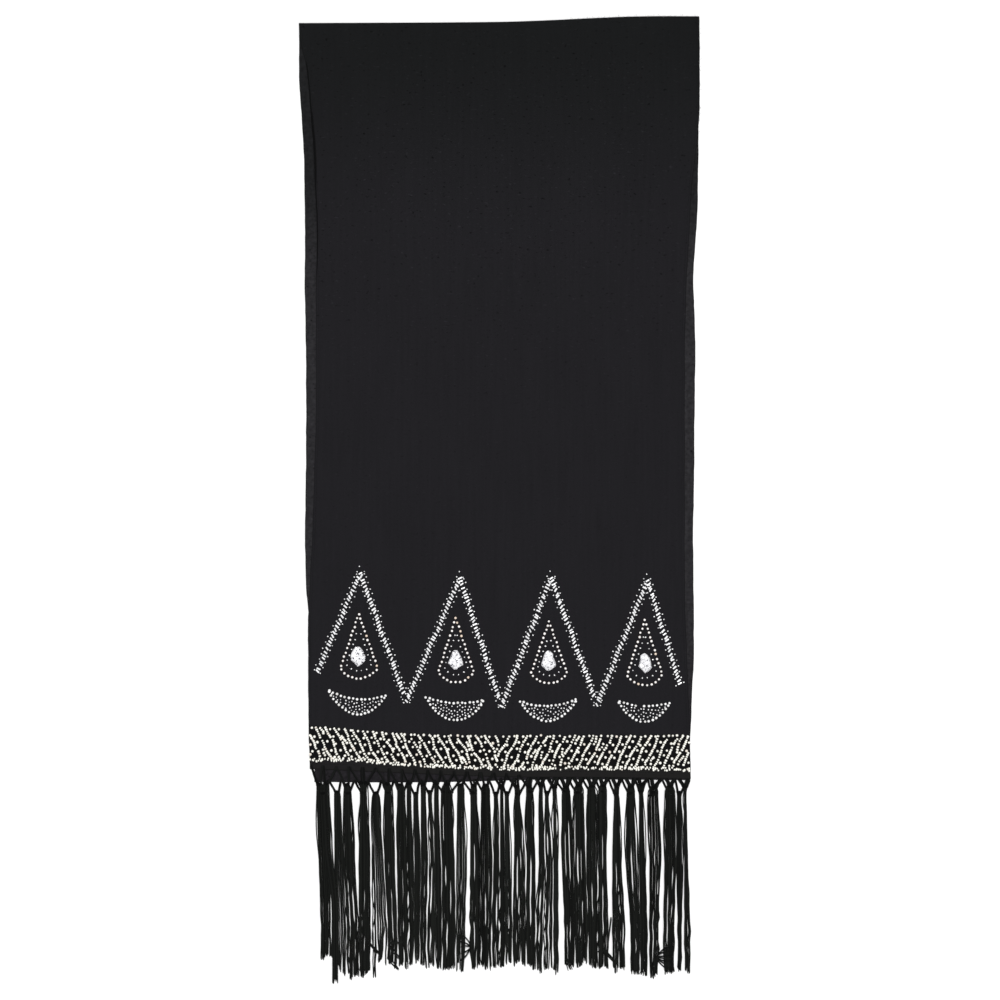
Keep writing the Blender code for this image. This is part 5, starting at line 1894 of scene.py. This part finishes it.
@dataclass
class Drop:
    """A drop-shaped ring of pearls, a ring of small beads inside it and a foil stone."""

    beader: Beader
    number: int
    pearl: float = 3.15 * MM
    pearl_pitch: float = 5.75 * MM
    small: float = 2.05 * MM
    small_pitch: float = 6.9 * MM
    outset: float = 1.8 * MM
    small_inset: float = 5.4 * MM
    small_foot_inset: float = 9.0 * MM
    small_start: float = 23.0 * MM      # the small beads start this far below the top
    foot_points: int = 9                # but this many points of their line stay on both sides of its middle
    corner: float = 0.84
    stone_height: float = 3.2 * MM

    def outline(self, inset: float, foot_inset: float) -> Line:
        """Return the drop's outline moved in, from its apex down the right side and round.

        Args:
            inset: How far its straight sides are moved in.
            foot_inset: How far its round foot is moved in.

        Returns:
            Points as (x, y).
        """
        low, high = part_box(f"drop_beading_{self.number}")
        half = (high.x - low.x) / 2 - self.outset
        tall = high.y - low.y - 2 * self.outset
        x, top = (low.x + high.x) / 2, high.y - self.outset
        corner = tall * self.corner
        sag = tall - corner
        radius = (half**2 + sag**2) / (2 * sag)
        centre = top - tall + radius
        lean = math.atan2(half, corner)
        apex = top - inset / math.sin(lean)
        foot = radius - foot_inset
        toward = -(apex - centre) * math.cos(lean)
        reach = -toward + math.sqrt(toward**2 - (apex - centre) ** 2 + foot**2)
        run = np.linspace(0.0, 1.0, 12) * reach
        right = np.stack([math.sin(lean) * run, apex - math.cos(lean) * run], axis=-1)
        angle = math.atan2(right[-1, 0], centre - right[-1, 1])
        turn = np.linspace(angle, -angle, 16)[1:-1]
        arc = np.stack([foot * np.sin(turn), centre - foot * np.cos(turn)], axis=-1)
        left = right[::-1] * np.array([-1.0, 1.0])
        return np.concatenate([right, arc, left]) + np.array([x, 0.0])

    def dress(self) -> None:
        """Make the pearls and the stone."""
        node = f"drop_beading_{self.number}"
        outer = self.beader.row([self.outline(0.0, 0.0)[:-1]], BeadKind.ROUND, self.pearl, self.pearl_pitch,
                                "copper_pearl", 20 + self.number, spread=0.10, wander=0.55 * MM, closed=True)
        ring = self.outline(self.small_inset, self.small_foot_inset)
        from_middle = np.abs(np.arange(len(ring)) - len(ring) // 2)
        ring = ring[(ring[:, 1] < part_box(node)[1].y - self.small_start) | (from_middle < self.foot_points)]
        inner = self.beader.row([ring], BeadKind.SEED, self.small, self.small_pitch, "white_seed",
                                30 + self.number, spread=0.14, wander=0.6 * MM)
        settle(f"drop_pearls_{self.number}", [outer, inner], Slot.PEARL, node)
        self.stone()

    def stone(self) -> None:
        """Make the foil stone: a crinkled, faceted dome as wide and as long as the solid."""
        node = f"drop_stone_{self.number}"
        low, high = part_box(node)
        rng = random.Random(50 + self.number)
        middle = np.array([(low.x + high.x) / 2, (low.y + high.y) / 2])
        corners = np.array(STONE_OUTLINES[self.number - 1])[::-1]
        sides = np.stack([corners, (corners + np.roll(corners, -1, axis=0)) / 2], axis=1).reshape(-1, 2)
        reach = sides * np.array([(high.x - low.x) / 2, (high.y - low.y) / 2])
        seat = self.beader.height(*middle)
        points = []
        for scale, rise in STONE_RINGS:
            rough = MM if rise > WALL_SHARE else 0.0
            for x, y in middle + reach * scale:
                points.append((x + rough * rng.uniform(-0.25, 0.25), y + rough * rng.uniform(-0.25, 0.25),
                               seat + self.stone_height * rise + rough * rng.uniform(-0.22, 0.12)))
        count = len(reach)
        faces = []
        for here in range(0, len(points) - count, count):
            for i in range(count):
                near, far = here + i, here + (i + 1) % count
                faces += [(near, far, far + count), (near, far + count, near + count)]
        faces += [tuple(range(count))[::-1], tuple(range(len(points) - count, len(points)))]
        mesh = new_mesh(node, points, [], faces)
        mesh.materials.append(self.beader.finishes["glitter_foil"])
        settle(f"foil_stone_{self.number}", [mesh], Slot.FOIL, node)


# Where the upper row of each crescent has a gap: shares of its width.
CRESCENT_GAPS = ((0.09, 0.16), (0.62, 0.68), (0.42, 0.48), (0.35, 0.51))


@dataclass
class Crescent:
    """A crescent of pearls, tips up, filled with small beads."""

    beader: Beader
    number: int
    pearl: float = 3.35 * MM
    pitch: float = 5.1 * MM
    small: float = 2.1 * MM
    small_pitch: float = 3.4 * MM
    outset: float = 1.8 * MM
    fill_inset: float = 4.5 * MM
    least_width: float = 1.0 * MM       # of the two ends of a part that is filled, together

    def __post_init__(self) -> None:
        """Keep the name of the solid."""
        self.node = f"crescent_beading_{self.number}"

    def arcs(self, inset: float, steps: int = 15) -> tuple[Line, Line]:
        """Return the crescent's upper and lower arcs, from left to right, moved in."""
        solid = Solid(self.node)
        margin = inset * 0.9
        x = np.linspace(solid.low.x + margin, solid.high.x - margin, steps)
        inside = np.clip(x, solid.low.x + 0.2 * MM, solid.high.x - 0.2 * MM)
        low, high = (softened(side, 1) for side in solid.crossing(0, inside))
        middle = (low + high) / 2
        return (np.stack([x, np.maximum(high - inset, middle)], axis=-1),
                np.stack([x, np.minimum(low + inset, middle)], axis=-1))

    def patch(self) -> bpy.types.Mesh:
        """Return the face between the arcs that the small beads fill."""
        upper, lower = self.arcs(self.fill_inset, 21)
        points = seated(np.concatenate([lower, upper]), self.beader.height, self.beader.seat * self.small)
        count = len(lower)
        gap = upper[:, 1] - lower[:, 1]
        faces = [(i, i + 1, count + i + 1, count + i) for i in range(count - 1)
                 if gap[i] + gap[i + 1] > self.least_width]
        return new_mesh("patch", points.tolist(), [], faces)

    def dress(self) -> None:
        """Make the crescent."""
        beader = self.beader
        upper, lower = self.arcs(self.outset)
        ends = mix(upper[0, 0], upper[-1, 0], np.array(CRESCENT_GAPS[self.number - 1]))
        ends = np.stack([ends, np.interp(ends, upper[:, 0], upper[:, 1])], axis=-1)
        before, after = upper[upper[:, 0] < ends[0, 0]], upper[upper[:, 0] > ends[1, 0]]
        ring = np.concatenate([ends[1:], after, lower[::-1][1:-1], before, ends[:1]])
        edge = beader.row([ring], BeadKind.ROUND, self.pearl, self.pitch, "white_pearl", 40 + self.number,
                          spread=0.10, wander=0.45 * MM)
        fill = grow(self.patch(), beader.fill_tree, Pitch=self.small_pitch, Density=1.0e6, Bead=self.small,
                    Spread=0.15, Seed=60 + self.number, Finish=beader.finishes["white_seed"])
        settle(f"crescent_pearls_{self.number}", [edge, fill], Slot.PEARL, self.node)


@dataclass
class Border:
    """Slanting lines of seed beads and pearls over a dense crust."""

    beader: Beader
    node: str = "border_beading"
    line_pitch: float = 5.9 * MM
    slant: float = 9.6 * MM         # half the sideways run of a line
    centre: float = -2.5 * MM       # the lines of both sides meet here
    stick: float = 3.35 * MM
    stick_pitch: float = 2.3 * MM
    pearl: float = 3.35 * MM
    crust_bead: float = 2.95 * MM
    crust_depth: float = 5.0 * MM
    crust_rows: tuple[float, float] = (1.3 * MM, 2.9 * MM)      # above the foot
    margin: float = 1.6 * MM        # what the lines leave free at the band's ends
    pearl_chances: tuple[float, float] = (0.15, 0.86)   # of a pearl instead of a stick, on every other line
    seed: int = 77

    def __post_init__(self) -> None:
        """Read the band's edges from its solid."""
        self.band = Band(self.node)

    def line(self, middle: float, side: float, rng: random.Random) -> Line:
        """Return one slanting line, from its head down to the crust.

        Args:
            middle: The x halfway down the line.
            side: 1 where it leans to the right on its way down, -1 where it leans to the left.
            rng: Source of its waves.

        Returns:
            Points as (x, y), cut short at the band's ends and where both sides meet.
        """
        share = np.linspace(0.0, 1.0, 40)
        phase, amount = rng.uniform(0.0, 6.28), rng.uniform(0.5, 1.3) * MM
        wave = amount * np.sin(phase + share * rng.uniform(5.0, 9.0))
        x = middle + side * self.slant * (2 * share - 1) + wave
        head = self.band.head(x) - rng.uniform(0.6, 2.2) * MM
        y = mix(head, self.band.foot(x) + self.crust_depth - 1.0 * MM, share)
        inside = (x > self.band.left + self.margin) & (x < self.band.right - self.margin)
        inside &= (self.centre + 1.2 * MM - x) * side > 0
        return np.stack([x[inside], y[inside]], axis=-1)

    def runs(self) -> tuple[list[Line], list[Line]]:
        """Return the sticks of seed beads and the places of single pearls, line by line."""
        rng = random.Random(self.seed)
        sticks = []
        pearls = []
        count = round((self.band.right - self.centre + 2 * self.slant) / self.line_pitch)
        for side, i in [(side, i) for side in (1.0, -1.0) for i in range(count)]:
            between = i % 2 == 1
            line = self.line(self.centre + side * (self.slant - (i + 0.4) * self.line_pitch), side, rng)
            if len(line) < 5:
                continue
            length = float(np.linalg.norm(np.diff(line, axis=0), axis=1).sum())
            place = rng.uniform(0.0, 1.5 if between else 0.8) * MM
            while place < length - 1.5 * MM:
                if rng.random() < self.pearl_chances[between]:
                    pearls.append(self.stretch(line, place, place + 0.4 * MM, rng))
                    place += self.pearl + (rng.uniform(3.5, 9.5) if between else rng.uniform(0.6, 2.4)) * MM
                    continue
                beads = rng.choice((2, 2, 3)) if between else rng.choice((3, 4, 5, 6, 7, 8))
                reach = min(beads * self.stick_pitch, length - place)
                sticks.append(self.stretch(line, place, place + reach, rng))
                place += reach + rng.uniform(3.0, 5.0) * MM
        return sticks, pearls

    @staticmethod
    def stretch(line: Line, start: float, end: float, rng: random.Random) -> Line:
        """Return a part of a line between two lengths along it, moved a little aside."""
        run = walked(line)
        places = np.linspace(start, end, max(2, round((end - start) / MM) + 1))
        x = np.interp(places, run, line[:, 0]) + rng.uniform(-0.9, 0.9) * MM
        x += np.linspace(-0.5, 0.5, len(places)) * rng.uniform(-1.4, 1.4) * MM
        return np.stack([x, np.interp(places, run, line[:, 1])], axis=-1)

    def dress(self) -> None:
        """Make the lines and the crust, whose rows follow the foot."""
        beader = self.beader
        band = self.band
        sticks, pearls = self.runs()
        x = np.linspace(band.left + 1.5 * MM, band.right - 1.5 * MM, 120)
        crust = [np.stack([x, band.foot(x) + lift], axis=-1) for lift in self.crust_rows]
        lines = beader.row(sticks, BeadKind.SEED, self.stick, self.stick_pitch, "gold_pearl", 71,
                           spread=0.16, wander=0.35 * MM)
        singles = beader.row(pearls, BeadKind.ROUND, self.pearl, 2.0 * MM, "gold_pearl", 72, spread=0.14)
        low = beader.row(crust, BeadKind.SEED, self.crust_bead, 2.6 * MM, "gold_pearl", 73,
                         spread=0.22, wander=1.1 * MM, missing=0.30)
        settle("border_lines", [lines, singles], Slot.GOLD, self.node)
        settle("border_crust", [low], Slot.GOLD, self.node)


# ---------------------------------------------------------------------------------------------------
# Studio
# ---------------------------------------------------------------------------------------------------

@dataclass(frozen=True)
class Lamp:
    """A broad far lamp that shines evenly on the whole stole."""

    direction: tuple[float, float, float]   # from the stole to the lamp
    breadth: float                          # how broad it looks from there, in degrees
    power: float

    def build(self, name: str) -> None:
        """Add the lamp."""
        data = bpy.data.lights.new(name, "SUN")
        data.angle = math.radians(self.breadth)
        data.energy = self.power
        placed(name, data).rotation_euler = Vector(self.direction).to_track_quat("Z", "Y").to_euler()


@dataclass
class Studio:
    """The pale floor, the light and the camera straight above."""

    view_width: float = 1.25            # what the view spans at the cloth
    centre: tuple[float, float] = (1.25 * MM, 1.25 * MM)
    cloth_level: float = 2.7 * MM
    lens: float = 85.0
    sensor: float = 36.0
    reach: float = 50.0                 # the camera sees this far
    floor_half: float = 8.0
    floor_level: float = -0.05 * MM
    floor_grey: float = 0.88
    sky: float = 0.24
    lamps: tuple[Lamp, ...] = (
        Lamp((-0.13, 0.45, 1.0), 16.0, 2.9),
        Lamp((0.55, -0.75, 1.0), 60.0, 0.9),
    )

    def camera(self) -> None:
        """Add the camera, looking straight down."""
        data = bpy.data.cameras.new("camera")
        data.lens = self.lens
        data.sensor_width = self.sensor
        data.clip_end = self.reach
        camera = placed("camera", data)
        camera.location = (*self.centre, self.cloth_level + self.view_width * self.lens / self.sensor)
        bpy.context.scene.camera = camera

    def floor(self) -> None:
        """Add the floor, just under the stole."""
        half = self.floor_half
        plan = ((-half, -half), (half, -half), (half, half), (-half, half))
        corners = [(x, y, self.floor_level) for x, y in plan]
        mesh = new_mesh("floor", corners, [], [(0, 1, 2, 3)])
        paint = Surface("floor_paint", Roughness=0.9, Specular_IOR_Level=0.1)
        mesh.materials.append(paint.finished(Base_Color=rgba((self.floor_grey,) * 3)))
        placed("floor", mesh)

    def world(self) -> None:
        """Give the world an even pale light."""
        world = bpy.data.worlds.new("pale_sky")
        world.use_nodes = True
        sky = world.node_tree.nodes["Background"]
        sky.inputs["Color"].default_value = (1.0, 1.0, 1.0, 1.0)
        sky.inputs["Strength"].default_value = self.sky
        bpy.context.scene.world = world

    def build(self) -> None:
        """Set up the studio."""
        self.camera()
        self.floor()
        self.world()
        for number, lamp in enumerate(self.lamps, start=1):
            lamp.build(f"lamp_{number}")
        bpy.context.scene.view_settings.view_transform = "Standard"


def main() -> None:
    """Build every sub-assembly in order and report each piece."""
    logging.basicConfig(level=logging.INFO, format="%(name)s: %(message)s")
    Studio().build()
    beads = (SILVER_BUGLE, WHITE_SEED, COPPER_PEARL, WHITE_PEARL, GOLD_PEARL, FOIL)
    finishes = {finish.name: finish.material() for finish in beads}
    crepe, crepe_single = CREPE.material(), CREPE_SINGLE.material()
    yarn, tied_yarn = YARN.material(), TIED_YARN.material()

    under = UnderCloth().dress(crepe_single)
    cloth = UpperCloth()
    upper = cloth.dress(crepe)
    sewing = Sewing(cloth)
    stitches = sewing.stitches(yarn)
    lint = sewing.lint(crepe)

    strips = make_strips()
    under_fringe = Fringe(
        "fringe_threads_under", "fringe_under", Outline("stole_under_half").hem, -0.2300, 0.2355, 28, strips,
        cloth_top=0.9 * MM, level=0.7 * MM, knot_line=-0.3640, root_rise=1.6 * MM, roots_end=0.3,
        seed=11).dress(yarn, tied_yarn)
    upper_fringe = Fringe(
        "fringe_threads_upper", "fringe_upper", cloth.outline.hem, -0.2360, 0.2385, 29, strips,
        cloth_top=1.9 * MM, level=1.6 * MM, knot_line=-0.3535, root_rise=4.5 * MM, roots_end=0.060,
        seed=4, long_bundle=1, crossings=CROSSINGS).dress(yarn, tied_yarn)

    beader = Beader(cloth.height, finishes)
    Zigzag(beader).dress()
    for number in range(1, 5):
        Drop(beader, number).dress()
        Crescent(beader, number).dress()
    Border(beader).dress()


if __name__ == "__main__":
    main()
